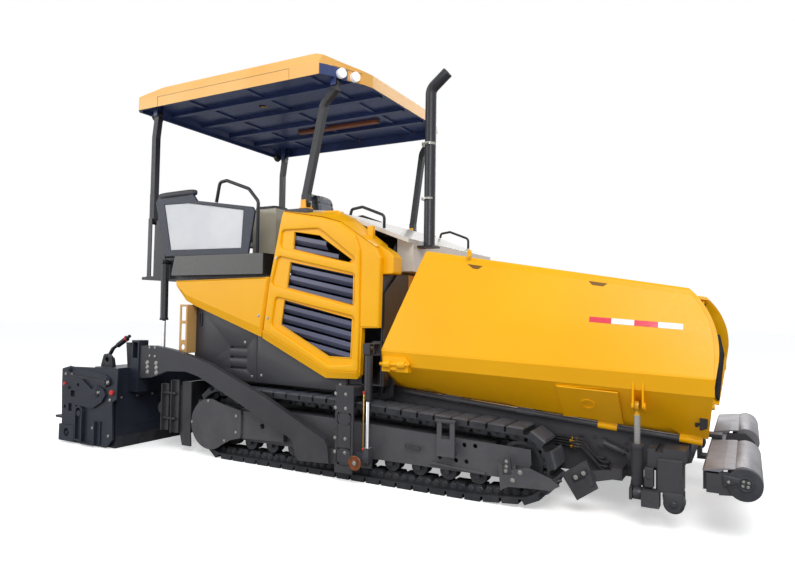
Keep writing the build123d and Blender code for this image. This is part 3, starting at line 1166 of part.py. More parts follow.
def seat(x0, side, folded):
    """Operator's seat: pedestal, cushion and backrest, which lies folded on the cushion when unused."""
    y0 = side * 480
    pedestal = block(x0 - 130, x0 + 130, y0 - 130, y0 + 130, DECK_TOP, 2110)
    cushion = block(x0 - 240, x0 + 260, y0 - 240, y0 + 240, 2108, 2220)
    if folded:
        back = side_plate([(x0 - 240, 2215), (x0 + 210, 2215), (x0 + 230, 2240), (x0 + 230, 2290),
                           (x0 + 200, 2310), (x0 - 250, 2330)], y0 - 220, y0 + 220)
        return fused([pedestal, cushion, back])
    back = side_plate([(x0 - 240, 2200), (x0 - 120, 2200), (x0 - 165, 2520), (x0 - 190, 2800), (x0 - 215, 2835),
                       (x0 - 265, 2835), (x0 - 285, 2790)], y0 - 220, y0 + 220)
    return fused([pedestal, cushion, back])


keep("platform", platform())
console, box = side_console(), cupboard()
keep("side_consoles", console, box, mirrored(console), mirrored(box))
shield = side_shield()
keep("side_shields", shield, mirrored(shield))
window = pane()
keep("shield_panes", window, mirrored(window))
keep("seats", seat(-1120, -1, True), seat(-950, 1, False))


# ---------------------------------------------------------------- canopy
POST_BEND = 160
POST_FOOT = 60            # from a post's foot pivot up to its square shaft
POST_HEAD = 52            # from the shaft's top to the head pivot


def post(points, foot, head, foot_top):
    """A square canopy post bent along its (x, y, z) points, with a round eye at each end."""
    path = FilletPolyline(*points, radius=POST_BEND)
    rise = Vector(*points[1]) - Vector(*points[0])
    plane = Plane(origin=points[0], x_dir=(0, 1, 0), z_dir=rise)
    shaft = sweep(plane * Rectangle(POST_SIZE, POST_SIZE), path=path)
    half = POST_SIZE / 2
    neck = POST_EYE_RADIUS - 4
    for x, y, z in (foot, head):
        shaft = shaft + disc(x, z, POST_EYE_RADIUS, y - half, y + half)
    shaft = shaft + block(foot[0] - neck, foot[0] + neck, foot[1] - half, foot[1] + half, foot[2], foot_top)
    shaft = shaft + block(head[0] - neck, head[0] + neck, head[1] - half, head[1] + half, points[-1][2] - 20, head[2])
    x, y, z = foot
    return shaft - disc(x, z, POST_PIN_RADIUS + PIN_CLEARANCE, y - 90, y + 90)


def front_post():
    """Front post: it leans forward and inward, and curves over under the roof."""
    foot = (FRONT_PIVOT_X, -POST_Y, FRONT_PIVOT_Z)
    head = (FRONT_TOP_X, -FRONT_TOP_Y, TOP_PIVOT_Z)
    points = [(FRONT_PIVOT_X, -POST_Y, FRONT_PIVOT_Z + POST_FOOT), (-86, -FRONT_TOP_Y - 14, 3330),
              (FRONT_TOP_X, -FRONT_TOP_Y, TOP_PIVOT_Z - POST_HEAD)]
    shaft = post(points, foot, head, FRONT_PIVOT_Z + 75)
    return shaft - disc(head[0], head[2], POST_PIN_RADIUS + PIN_CLEARANCE, head[1] - 90, head[1] + 90)


def rear_post():
    """Rear post, upright. Its head pin is its own, because the roof's rear lugs run free of it."""
    foot = (REAR_PIVOT_X, -POST_Y, REAR_PIVOT_Z)
    head = (REAR_TOP_X, -POST_Y, TOP_PIVOT_Z)
    points = [(REAR_PIVOT_X, -POST_Y, REAR_PIVOT_Z + POST_FOOT), (REAR_PIVOT_X, -POST_Y, 3250),
              (REAR_TOP_X, -POST_Y, TOP_PIVOT_Z - POST_HEAD)]
    shaft = post(points, foot, head, REAR_PIVOT_Z + 290)
    return shaft + disc(head[0], head[2], POST_PIN_RADIUS, head[1] - POST_SIZE / 2 - 3, head[1] + POST_SIZE / 2 + 3)


def lug_plates(x, y, z, z_base):
    """Two plates either side of a post's eye, from z_base to round the pin."""
    reach = 24 if z > z_base else -24
    plates = []
    for side in (-1, 1):
        near = y + side * (POST_SIZE / 2 + LUG_GAP)
        y0, y1 = sorted((near, near + side * LUG_PLATE))
        outline = [(x - 29, z_base), (x - 27, z + reach), (x + 27, z + reach), (x + 29, z_base)]
        plates.append(side_plate(outline, y0, y1))
    return plates


def lug_pin(x, y, z):
    """The pin across two lug plates."""
    outer = POST_SIZE / 2 + LUG_GAP + LUG_PLATE
    return disc(x, z, POST_PIN_RADIUS, y - outer, y + outer)


def post_feet():
    """Lugs with pins that carry the canopy posts."""
    feet = []
    reach = POST_SIZE / 2 + LUG_GAP + LUG_PLATE
    for x, z, low in ((FRONT_PIVOT_X, FRONT_PIVOT_Z, FRONT_FOOT_Z), (REAR_PIVOT_X, REAR_PIVOT_Z, DECK_TOP)):
        foot = block(x - 45, x + 45, -POST_Y - reach, -POST_Y + reach, low, low + 8)
        feet.append(fused([foot, *lug_plates(x, -POST_Y, z, low + 4), lug_pin(x, -POST_Y, z)]))
    return feet


def roof_plan(inset, z0, z1):
    """A flat plate with the roof's outline moved inwards by inset."""
    half = ROOF_HALF - inset
    rear, front = ROOF_REAR + inset, ROOF_FRONT - inset
    (cx, cy), (ex, ey) = [(x - inset * 0.8, y + inset * 0.8) for x, y in (LAMP_CORNER, LAMP_EDGE)]
    right = [(rear, -half + 60), (rear + 60, -half), (cx - 70, -half), (cx, cy), (ex, ey), (front, ey + 120)]
    return flat_plate(right + [(x, -y) for x, y in right[::-1]], z0, z1)


def roof_form(inset, low):
    """The roof's outer form moved inwards and down by inset, from the height low."""
    half = ROOF_HALF - inset
    rear, front = ROOF_REAR + inset, ROOF_FRONT - inset
    rim, top = ROOF_RIM - inset, ROOF_TOP - inset
    shell = roof_plan(inset, low, top)
    profile = [(rear, low), (rear, rim - 50), (rear + 60, rim + 30), (rear + 500, top - 26), (-420, top),
               (-190, top - 14), (60, rim + 36), (front, rim), (front, low)]
    shell = shell & side_plate(profile, -half - 5, half + 5)
    section = [(-half, low), (-half, rim), (-half + 42, top - 50), (-half + 110, top - 12), (-half + 330, top),
               (half - 330, top), (half - 110, top - 12), (half - 42, top - 50), (half, rim), (half, low)]
    return shell & cross_plate(section, rear - 5, front + 5)


def roof():
    """Canopy roof: a crowned shell with chamfered front corners, a service panel's joint on each side."""
    shell = roof_form(0, ROOF_LOW) - roof_form(ROOF_SKIN, ROOF_LOW - 5)
    shell = shell + roof_plan(ROOF_SKIN - 3, ROOF_CEILING, ROOF_CEILING + 14)
    for side in (-1, 1):
        shell = shell - bar((-1300, side * 470, ROOF_CEILING - 5), (-1300, side * 470, ROOF_CEILING + 20), 45)
    # recesses for the work lamps in the front corners
    run_x, run_y = LAMP_EDGE[0] - LAMP_CORNER[0], LAMP_EDGE[1] - LAMP_CORNER[1]
    turn = math.degrees(math.atan2(run_y, run_x))
    middle_x, middle_y = (LAMP_CORNER[0] + LAMP_EDGE[0]) / 2, (LAMP_CORNER[1] + LAMP_EDGE[1]) / 2
    span = math.hypot(run_x, run_y)
    at = Pos(middle_x, middle_y, ROOF_LOW) * Rot(0, 0, turn)
    back = at * Pos(0, 0, 53) * Box(span - 30, 2 * (LAMP_RECESS + LAMP_BACK), 94)
    recess = at * Pos(0, -60 + LAMP_RECESS, 22) * Box(span - 30, 120, 156)
    for box, cut in ((back, recess), (mirrored(back), mirrored(recess))):
        shell = (shell + box) - cut
    pieces = [shell]
    for y in (-700, -240, 240, 700):
        pieces.append(block(ROOF_REAR + 20, 60, y - 30, y + 30, ROOF_LOW + 55, ROOF_CEILING + 5))
    for x in (-1900, -1100, -300):
        pieces.append(block(x - 25, x + 25, -ROOF_HALF + 20, ROOF_HALF - 20, ROOF_LOW + 80, ROOF_CEILING + 5))
    for side in (-1, 1):
        front_y, rear_y = side * FRONT_TOP_Y, side * POST_Y
        pieces += lug_plates(FRONT_TOP_X, front_y, TOP_PIVOT_Z, ROOF_CEILING + 1)
        pieces.append(lug_pin(FRONT_TOP_X, front_y, TOP_PIVOT_Z))
        pieces += lug_plates(REAR_TOP_X, rear_y, TOP_PIVOT_Z, ROOF_CEILING + 1)
    whole = fused(pieces)
    for side in (-1, 1):
        face = side * ROOF_HALF
        y0, y1 = sorted((face - side * 4, face + side * 5))
        whole = whole - block(-2124, -368, y0, y1, ROOF_RIM - 22, ROOF_RIM - 15)
        for x in (-2124, -375):
            whole = whole - block(x, x + 7, y0, y1, ROOF_LOW - 5, ROOF_RIM - 16)
    return whole




def head_lamps():
    """Two round work lamps on each front corner of the roof."""
    run_x, run_y = (b - a for a, b in zip(LAMP_CORNER, LAMP_EDGE))
    length = math.hypot(run_x, run_y)
    aim_x, aim_y = -run_y / length, run_x / length
    if aim_x < 0:
        aim_x, aim_y = -aim_x, -aim_y
    lamps = []
    for share in LAMP_SHARES:
        x, y = LAMP_CORNER[0] + share * run_x, LAMP_CORNER[1] + share * run_y
        x, y = x + (LAMP_SEAT - LAMP_RECESS) * aim_x, y + (LAMP_SEAT - LAMP_RECESS) * aim_y
        lamps.append(bar((x, y, LAMP_Z), (x + LAMP_DEPTH * aim_x, y + LAMP_DEPTH * aim_y, LAMP_Z), LAMP_RADIUS))
    return lamps


front_pair, rear_pair = front_post(), rear_post()
keep("front_posts", front_pair, mirrored(front_pair))
keep("rear_posts", rear_pair, mirrored(rear_pair))
feet = post_feet()
keep("post_feet", *feet, *[mirrored(foot) for foot in feet])
keep("canopy_roof", roof())
lamps = head_lamps()
keep("head_lamps", *lamps, *[mirrored(lamp) for lamp in lamps])


# ---------------------------------------------------------------- rails, brackets and hoses
def grab_rails():
    """Bent handrails ahead of each windbreak and beside the hood."""
    y = -CONSOLE_OUT + 14
    tall = bent_bar([(-1190, y, 2446), (-1150, y, 2640), (-1062, y, 2650), (-780, y, 2548), (-660, y, 2420),
                     (-660, y, CONSOLE_TOP)], 16, [40, 40, 60, 60])
    low = bent_bar([(186, -960, 2278), (200, -960, 2330), (312, -960, 2345), (541, -960, 2255), (541, -960, 2143)],
                   13, [25, 30, 45])
    return [tall, low]


def ladder_bracket():
    """Step bracket with two windows on the lower panel."""
    x0, x1, z0, z1 = -1632, -1525, 970, 1450
    plate = block(x0, x1, -PANEL_OUT - 50, -PANEL_OUT - 38, z0, z1)
    for low, high in ((1100, 1260), (1290, 1430)):
        plate = plate - block(x0 + 22, x1 - 22, -PANEL_OUT - 60, -PANEL_OUT - 30, low, high)
    plate = plate - disc((x0 + x1) / 2, 1030, 26, -PANEL_OUT - 60, -PANEL_OUT - 30)
    flange = block(x1 - 12, x1, -PANEL_OUT - 40, -SHELL_OUT, z0, z1)
    return plate + flange


HOSE_RADIUS = 8
# hose fittings ahead of the track, then the way down to the frame's side: heights and end points
HOSE_ENDS = ((495, 2414, 368), (475, 2446, 340), (455, 2440, 308), (435, 2462, 276))


def hoses():
    """Four hydraulic hoses from the frame's bulkhead to the plough's valve ports."""
    y_bulkhead, y_out = -FRAME_OUT - 14, -978
    lines = []
    for i, (z, end_x, end_z) in enumerate(HOSE_ENDS):
        low_y = -FRAME_OUT - 30
        points = [(2050.3, y_bulkhead, z), (2110, y_bulkhead, z), (2195, y_out, z), (2260, y_out, z),
                  (end_x - 60, low_y, end_z + 6), (end_x, low_y, end_z), (end_x, -FRAME_OUT - SEAT_GAP, end_z)]
        lines.append(bent_bar(points, HOSE_RADIUS, [40, 40, 30, 30, 14]))
        lines[-1] = lines[-1] + bar((2196, y_out, z), (2244, y_out, z), HOSE_RADIUS + 4)
    return lines


rails = grab_rails()
keep("grab_rails", *rails, *[mirrored(rail) for rail in rails])
ladder = ladder_bracket()
keep("ladder_brackets", ladder, mirrored(ladder))
lines = hoses()
keep("hoses", *lines, *[mirrored(line) for line in lines])
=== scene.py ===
"""Tracked asphalt paver: materials, fasteners, trim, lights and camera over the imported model."""
import json
import math
import bmesh
import bpy
from mathutils import Matrix, Vector

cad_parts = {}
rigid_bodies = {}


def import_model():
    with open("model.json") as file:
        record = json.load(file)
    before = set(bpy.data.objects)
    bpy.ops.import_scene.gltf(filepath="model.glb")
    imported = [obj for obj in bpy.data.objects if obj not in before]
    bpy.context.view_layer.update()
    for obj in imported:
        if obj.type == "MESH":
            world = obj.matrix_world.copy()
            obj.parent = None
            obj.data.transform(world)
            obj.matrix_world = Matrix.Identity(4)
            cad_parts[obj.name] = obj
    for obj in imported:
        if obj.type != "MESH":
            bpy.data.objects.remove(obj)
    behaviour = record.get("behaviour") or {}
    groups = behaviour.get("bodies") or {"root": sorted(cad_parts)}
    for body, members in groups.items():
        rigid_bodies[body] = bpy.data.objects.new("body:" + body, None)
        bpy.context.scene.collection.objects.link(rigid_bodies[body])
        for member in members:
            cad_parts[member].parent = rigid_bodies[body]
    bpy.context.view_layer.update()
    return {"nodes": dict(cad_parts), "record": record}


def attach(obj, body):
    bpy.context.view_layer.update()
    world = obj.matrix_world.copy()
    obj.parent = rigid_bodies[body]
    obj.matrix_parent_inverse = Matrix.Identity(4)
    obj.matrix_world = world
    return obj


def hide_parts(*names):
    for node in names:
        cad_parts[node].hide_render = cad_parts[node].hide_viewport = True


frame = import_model()
NODES = frame["nodes"]


# ---------------------------------------------------------------- materials
# pattern sizes in millimetres
DRIFT = 1100           # a sprayed coat's shade drifts over about a metre
HANDLING = 26          # patches that are duller where they are touched and wiped
SPECK = 5.3            # grit on the paint, under 1 mm, drawn coarser to show
ORANGE_PEEL = 2.4      # ripples of sprayed paint, about 1 mm, drawn coarser to show
DUST_TOP = 0.9         # metres over the ground up to which road dust lies
ROAD_DUST = "8d8172"
HINGE_SLOPE = 0.0781   # fall of the wings' hinge line towards the front


def linear(code):
    """An sRGB hex colour as linear RGBA."""
    values = [int(code[i:i + 2], 16) / 255 for i in (0, 2, 4)]
    return [v / 12.92 if v <= 0.04045 else ((v + 0.055) / 1.055) ** 2.4 for v in values] + [1.0]


class Finish:
    """A material under construction, with its shader and its piece's own coordinates in metres."""

    def __init__(self, name):
        self.material = bpy.data.materials.new(name)
        self.material.use_nodes = True
        self.tree = self.material.node_tree
        self.shader = self.tree.nodes["Principled BSDF"]
        self.place = self.add("ShaderNodeTexCoord", {}, "Object")

    def add(self, kind, sockets, output=0, **settings):
        """Adds a node with its settings and its sockets' values or links, and returns an output."""
        made = self.tree.nodes.new(kind)
        for key, value in settings.items():
            setattr(made, key, value)
        for key, value in sockets.items():
            self.fill(made.inputs[key], value)
        return made.outputs[output]

    def fill(self, socket, value):
        """Gives a socket another node's output, a hex colour or a plain value."""
        if isinstance(value, bpy.types.NodeSocket):
            self.tree.links.new(value, socket)
        else:
            socket.default_value = linear(value) if isinstance(value, str) else value

    def cloud(self, size, low=0.3, high=0.7, least=0.0, most=1.0, detail=4.0, rough=0.55, stretch=(1, 1, 1)):
        """An irregular pattern with patches of a size in millimetres, spread from least to most."""
        place = self.add("ShaderNodeMapping", {"Vector": self.place, "Scale": stretch})
        noise = self.add("ShaderNodeTexNoise", {"Vector": place, "Scale": 1000 / size, "Detail": detail,
                                                "Roughness": rough}, "Fac")
        return self.add("ShaderNodeMapRange",
                        {"Value": noise, "From Min": low, "From Max": high, "To Min": least, "To Max": most})

    def zone(self, place, none, full, mirrored=False):
        """A mask that is 0 where an axis, or another value, is at none, and 1 where it is at full."""
        if isinstance(place, str):
            place = self.add("ShaderNodeSeparateXYZ", {0: self.place}, place)
        if mirrored:
            place = self.add("ShaderNodeMath", {0: place}, operation="ABSOLUTE")
        return self.add("ShaderNodeMapRange", {"Value": place, "From Min": none, "From Max": full})

    def joined(self, operation, *masks):
        """Masks joined two by two: MULTIPLY leaves what they share, MAXIMUM adds them up."""
        whole = masks[0]
        for mask in masks[1:]:
            whole = self.add("ShaderNodeMath", {0: whole, 1: mask}, operation=operation)
        return whole

    def shaded(self, under, over, size, **spread):
        """A colour with clouds of another over it."""
        share = self.cloud(size, **spread)
        return self.add("ShaderNodeMix", {"Factor": share, 6: under, 7: over}, 2, data_type="RGBA")

    def close(self, colour, rough, height=None, strength=0.05, depth=2.0, metal=0.0, coat=0.0, specular=0.35):
        """Joins colour, roughness, plain values and a relief, its depth in millimetres, to the shader."""
        for socket, value in (("Base Color", colour), ("Roughness", rough), ("Metallic", metal),
                              ("Coat Weight", coat), ("Coat Roughness", 0.12),
                              ("Specular IOR Level", specular)):
            self.fill(self.shader.inputs[socket], value)
        if height:
            relief = {"Strength": strength, "Distance": depth / 1000, "Height": height}
            self.fill(self.shader.inputs["Normal"], self.add("ShaderNodeBump", relief))
        return self.material


def paint(name, light, dark, rough=0.38, coat=0.3, dust=ROAD_DUST, dust_amount=0.3):
    """Sprayed machine enamel: soft shade changes, orange peel, fine specks, and dust towards the ground."""
    f = Finish(name)
    colour = f.shaded(dark, light, DRIFT, detail=3.0)
    colour = f.shaded(colour, dust, SPECK, low=0.66, high=0.74, most=0.16, detail=2.0)
    film = f.joined("MULTIPLY", f.zone("Z", DUST_TOP, 0.0),
                    f.cloud(200, 0.35, 0.75, 0.0, dust_amount, 6.0, 0.7))
    worn = f.cloud(HANDLING, least=rough - 0.06, most=rough + 0.1, detail=6.0, rough=0.65)
    dull = f.add("ShaderNodeMath", {0: film, 1: 0.5, 2: worn}, operation="MULTIPLY_ADD")
    colour = f.add("ShaderNodeMix", {"Factor": film, 6: colour, 7: dust}, 2, data_type="RGBA")
    return f.close(colour, dull, f.cloud(ORANGE_PEEL, 0, 1, detail=2.0), coat=coat)


def steel(name, light, dark, rough=0.42, metal=0.85, rust="5b4636", rust_amount=0.35, brushed=(1, 1, 1),
          mottle=110):
    """Bare or worn steel: mottled, brushed along an axis, with dull brown patches."""
    f = Finish(name)
    colour = f.shaded(dark, light, mottle, detail=6.0, rough=0.7)
    patches = f.cloud(310, 0.52, 0.72, 0.0, rust_amount, 8.0, 0.75)
    scratch = f.cloud(33, 0, 1, detail=5.0, rough=0.6, stretch=brushed)
    worn = f.cloud(33, 0.25, 0.75, rough - 0.1, rough + 0.14, 5.0, 0.6, brushed)
    dull = f.add("ShaderNodeMath", {0: patches, 1: 0.6, 2: worn}, operation="MULTIPLY_ADD", use_clamp=True)
    colour = f.add("ShaderNodeMix", {"Factor": patches, 6: colour, 7: rust}, 2, data_type="RGBA")
    return f.close(colour, dull, scratch, 0.12, metal=metal)


def rubber(name, light, dark, rough=0.62, grain=3.8, strength=0.25):
    """Rubber, vinyl or moulded plastic with a fine grain, its size in millimetres."""
    f = Finish(name)
    colour = f.shaded(dark, light, 170, detail=5.0, rough=0.6)
    pebble = f.add("ShaderNodeTexVoronoi", {"Vector": f.place, "Scale": 1000 / grain}, "Distance")
    return f.close(colour, f.cloud(45, least=rough - 0.08, most=rough + 0.08), pebble, strength, 0.8,
                   specular=0.4)


def two_tone(name, mask, first, second, rough=0.34, coat=0.15):
    """Enamel of one colour where the mask is 0 and another where it is 1; each colour a (light, dark) pair."""
    f = Finish(name)
    tones = {"Factor": mask(f), 6: f.shaded(first[1], first[0], 830), 7: f.shaded(second[1], second[0], 830)}
    colour = f.add("ShaderNodeMix", tones, 2, data_type="RGBA")
    colour = f.shaded(colour, ROAD_DUST, SPECK, low=0.66, high=0.74, most=0.12, detail=2.0)
    worn = f.cloud(HANDLING, least=rough - 0.06, most=rough + 0.1, detail=6.0)
    return f.close(colour, worn, f.cloud(ORANGE_PEEL, 0, 1, detail=2.0), coat=coat)


def back_wall(f):
    """1 on the hopper's back wall behind and beside, 0 in the hopper."""
    ends = f.joined("MULTIPLY", f.zone("Y", 0.70, 0.705, mirrored=True), f.zone("X", 0.70, 0.69))
    return f.joined("MAXIMUM", f.zone("X", 0.6415, 0.6405), ends)


def canopy_paint():
    """Cream-orange shell; the faces that look down or inward, the lamps' seats and the beams inside are dark
    navy.
    """
    f = Finish("glass fibre with cream gel coat")
    shell = f.shaded("e8a94c", "f2bd6c", 1250, detail=3.0)
    navy_faces = f.shaded("2a3862", "36477a", 250, detail=5.0)
    normal = f.add("ShaderNodeNewGeometry", {}, "Normal")
    slope = f.add("ShaderNodeSeparateXYZ", {0: normal}, "Z")
    # how far a face looks away from the canopy's middle, in plan
    from_middle = f.add("ShaderNodeVectorMath", {0: f.place, 1: (1.13, 0, 0)}, operation="ADD")
    in_plan = f.add("ShaderNodeVectorMath", {0: from_middle, 1: (1, 1, 0)}, operation="MULTIPLY")
    outward = f.add("ShaderNodeVectorMath", {0: in_plan, 1: normal}, "Value", operation="DOT_PRODUCT")
    inward = f.joined("MULTIPLY", f.zone(slope, 0.5, 0.3, mirrored=True), f.zone(outward, 0.0, -0.02))
    # the lamps' seats cut the front corners off at a slant
    across = f.add("ShaderNodeSeparateXYZ", {0: f.place}, "Y")
    across = f.add("ShaderNodeMath", {0: across}, operation="ABSOLUTE")
    ahead = f.add("ShaderNodeSeparateXYZ", {0: f.place}, "X")
    slant = f.add("ShaderNodeMath", {0: across, 1: 0.4375, 2: ahead}, operation="MULTIPLY_ADD")
    seats = f.joined("MULTIPLY", f.zone(slant, 0.488, 0.492), f.zone(slant, 0.5105, 0.5085),
                     f.zone(across, 0.80, 0.81), f.zone("Z", 3.639, 3.637))
    beams = f.joined("MULTIPLY", f.zone("Z", 3.6355, 3.6345), f.zone("X", 0.11, 0.10),
                     f.zone("X", -2.44, -2.43), f.zone(across, 1.15, 1.13))
    dark = f.joined("MAXIMUM", f.zone(slope, -0.3, -0.5), inward, seats, beams)
    colour = f.add("ShaderNodeMix", {"Factor": dark, 6: shell, 7: navy_faces}, 2, data_type="RGBA")
    return f.close(colour, f.cloud(40, least=0.34, most=0.46, detail=5.0),
                   f.cloud(3.3, 0, 1, detail=2.0), 0.06, coat=0.2)


def tow_point_steel():
    """Dark sliding blocks with a bright cylinder rod, told apart by height and place."""
    f = Finish("machined steel and chromed rod")
    rod = f.joined("MULTIPLY", f.zone("Z", 0.299, 0.301), f.zone("X", 0.59, 0.592))
    block = f.shaded("36373b", "4b4c51", 83, detail=6.0, rough=0.7)
    chrome = f.shaded("d3d6db", "e6e8ec", 83, detail=6.0, rough=0.7)
    colour = f.add("ShaderNodeMix", {"Factor": rod, 6: block, 7: chrome}, 2, data_type="RGBA")
    polish = f.add("ShaderNodeMath", {0: rod, 1: -0.34, 2: f.cloud(25, least=0.46, most=0.56)},
                   operation="MULTIPLY_ADD")
    return f.close(colour, polish, f.cloud(17, 0, 1), 0.06, 1.0, metal=rod, specular=0.5)


def wing_paint():
    """Yellow wing whose two rear hinge tubes are dark, as the frame's own are."""
    f = Finish("yellow enamel on wings")
    yellow = f.shaded("f3ad00", "fab602", DRIFT, detail=3.0)
    yellow = f.shaded(yellow, "a9792b", 140, low=0.55, high=0.8, most=0.12, detail=7.0, rough=0.75,
                      stretch=(1, 1, 0.25))
    dark = f.shaded("3f4046", "4b4c52", DRIFT, detail=3.0)
    over_hinge = f.add("ShaderNodeVectorMath", {0: f.place, 1: (HINGE_SLOPE, 0, 1)}, "Value",
                       operation="DOT_PRODUCT")
    tube = f.joined("MULTIPLY", f.zone(over_hinge, 0.8297, 0.8267), f.zone("X", 1.96, 1.95))
    colour = f.add("ShaderNodeMix", {"Factor": tube, 6: yellow, 7: dark}, 2, data_type="RGBA")
    worn = f.cloud(HANDLING, least=0.28, most=0.42, detail=6.0, rough=0.65)
    return f.close(colour, worn, f.cloud(ORANGE_PEEL, 0, 1, detail=2.0), specular=0.25)


def frosted_pane():
    """Frosted sheet, pale and cloudy."""
    f = Finish("frosted acrylic")
    colour = f.shaded("d6d8dc", "f0f1f3", 625, high=0.75)
    f.shader.inputs["Transmission Weight"].default_value = 0.25
    return f.close(colour, f.cloud(33, least=0.5, most=0.62, detail=3.0), f.cloud(1.1, 0, 1, detail=2.0), 0.15,
                   0.6, specular=0.3)


def lamp_glass():
    """Clear ribbed lens, its ribs 5.2 mm apart, with a painted glow: a faint white emission that stands in for
    the bright reflector behind it.
    """
    f = Finish("pressed lamp glass")
    ribs = f.add("ShaderNodeTexWave", {"Vector": f.place, "Scale": 100 * math.pi / 5.2}, "Fac",
                 wave_type="RINGS", rings_direction="SPHERICAL")
    # painted glow: a faint white light given off by the lens, in place of the reflector's shine
    f.shader.inputs["Emission Color"].default_value = linear("ffffff")
    f.shader.inputs["Emission Strength"].default_value = 0.25
    return f.close(f.shaded("dfe6ee", "ffffff", 12.5, detail=2.0),
                   f.cloud(25, least=0.08, most=0.16, detail=2.0), ribs, 0.3, 1.0, coat=0.6)


def reflective(name, light, dark):
    """Reflective sheeting with honeycomb cells 4.2 mm wide."""
    f = Finish(name)
    cells = f.add("ShaderNodeTexVoronoi", {"Vector": f.place, "Scale": 1000 / 4.2}, "Distance",
                  feature="DISTANCE_TO_EDGE")
    colour = f.add("ShaderNodeMix", {"Factor": f.zone(cells, 0.02, 0.12), 6: dark, 7: light}, 2,
                   data_type="RGBA")
    return f.close(colour, f.cloud(33, least=0.28, most=0.4, detail=2.0), cells, 0.15, 0.6, coat=0.4)


# warm yellow enamel, sprayed: smooth broad sheets with a soft sheen
YELLOW = paint("yellow enamel", "fab602", "f3ad00", rough=0.32, coat=0.0, dust="b08a3a", dust_amount=0.1)
# painted shade: the same yellow enamel darkened to brown-yellow, on plates that stand for the shaded inside of
# pressed notches
PAINTED_NOTCH_SHADE = paint("yellow enamel in shade", "8a5f10", "6e4a0a", rough=0.5, coat=0.0, dust_amount=0.0)
# yellow enamel on the wings: faint streaks down the sheet
WING_YELLOW = wing_paint()
# charcoal enamel, sprayed: near black and satin, paler with dust low down
CHARCOAL = paint("charcoal enamel", "3b3b40", "303035", rough=0.42, coat=0.08, dust="6d6a66", dust_amount=0.2)
# dark grey enamel, sprayed, with painted shade and a painted blue reflection of the sky: the screed is drawn
# darker and colder than the frame
SKY_TINTED_GREY = paint("blue-grey enamel", "262b38", "1d212c", rough=0.4, coat=0.1, dust="57565a", dust_amount=0.15)
# black enamel on tubes and posts: a thin line of light along each bend
BLACK = paint("black enamel", "25262c", "1c1d22", rough=0.4, coat=0.1, dust="5d5a56", dust_amount=0.15)
# grey primer-based enamel on the track frames: pale dust lies on the ledges
FRAME_GREY = paint("grey enamel", "4d4d52", "404045", rough=0.4, coat=0.1, dust="7b7670", dust_amount=0.3)
# slate enamel round the shields' panes: matte and bluish
SHIELD = paint("slate enamel", "2f3442", "272b37", rough=0.45, coat=0.1, dust_amount=0.0)
# enamel on the posts' feet: dark at the rear, yellow at the front
FEET = two_tone("enamel on post feet", lambda f: f.zone("X", -1.01, -0.99), ("33343a", "2b2c31"),
                ("f0ab02", "e8a602"))
# enamel on the hopper's bed: brown-black where the mix slides, yellow on the wall's outside
BED = two_tone("enamel on hopper bed", back_wall, ("fab602", "f0aa00"), ("37312c", "2a2623"))
# enamel on the deck's boxes: dark outside, warm grey inside, and glossy
DECK_BOXES = two_tone("enamel on deck boxes", lambda f: f.zone("Y", 0.992, 0.988, mirrored=True),
                      ("2a2826", "222120"), ("b0a894", "989080"), rough=0.2, coat=0.3)
# beige primer: flat, chalky steps
BEIGE = paint("beige primer", "d0a468", "bd9055", rough=0.45, coat=0.1)
# light grey gel coat on the hood: bright and glossy, it mirrors the sky
HOOD = paint("light grey gel coat", "d6d1c9", "c6c1b8", rough=0.24, coat=0.4)
# console grey enamel with clear lacquer: a broad soft highlight
CONSOLE = paint("lacquered console enamel", "4b4a4c", "3c3b3e", rough=0.3, coat=0.35, dust_amount=0.0)
# slate lacquer on the louvres: blue-grey blades with bright edges
SLATE = paint("slate lacquer", "5c6078", "4b4e63", rough=0.34, coat=0.3, dust_amount=0.0)
# gel coat on glass fibre: cream, and navy on faces that look down or inward
CANOPY = canopy_paint()
# forged steel of chains and shoes: dark, half worn, rusty in patches
TRACK = steel("forged track steel", "3e3f44", "2a2b2f", rough=0.5, metal=0.4, rust="4a4038", rust_amount=0.3)
# worn steel of the shoes' faces: paler than the chain where the ground polishes it
PAD = steel("ground-worn steel", "62666f", "484b53", rough=0.42, metal=0.25, rust="5b4c40", rust_amount=0.45)
# black oxide steel: dark with a dull metal shine
DARK_STEEL = steel("black oxide steel", "4b4c51", "34353a", rough=0.42, metal=0.45, rust_amount=0.2)
# machined blocks and a chromed rod: dark against mirror bright
TOW_STEEL = tow_point_steel()
# rolled steel of the push rollers: brushed round by tyres
ROLLER = steel("brushed roller steel", "8c8a8d", "76747a", rough=0.4, metal=0.5, rust="6a5b4e",
               rust_amount=0.25, brushed=(1, 14, 14))
# hard chrome: a mirror with sharp reflections
CHROME = steel("hard chrome", "e4e6ea", "c9ccd2", rough=0.14, metal=1.0, rust="9a9a9c", rust_amount=0.1)
# zinc-plated bolts: small bright spots, slightly mottled
ZINC = steel("zinc plate", "bcbab4", "93918d", rough=0.3, metal=0.8, rust="7d7468", rust_amount=0.2, mottle=17)
# brass fittings: warm yellow metal that tarnishes brown
BRASS = steel("turned brass", "e0b347", "b98d2a", rough=0.3, metal=0.8, rust="7a5a2a", rust_amount=0.2,
              mottle=33)
# oiled rusty pin: orange-brown and wet
PIN_ORANGE = steel("oiled rusty steel", "9a5a36", "5c3722", rough=0.4, metal=0.4, rust="40281a",
                   rust_amount=0.5, mottle=50)
# red polyethylene caps: bright and a little waxy
RED_PLASTIC = rubber("red polyethylene", "d8332c", "b52722", rough=0.4, grain=2.0, strength=0.1)
# orange-brown enamel on the beam under the roof: matte
ORANGE_STRIP = paint("orange-brown enamel", "9a5a38", "7e4a30", rough=0.5, coat=0.0, dust_amount=0.0)
# black rubber: dull, with no clear reflections
RUBBER = rubber("black rubber", "2a2a2d", "1c1c1f")
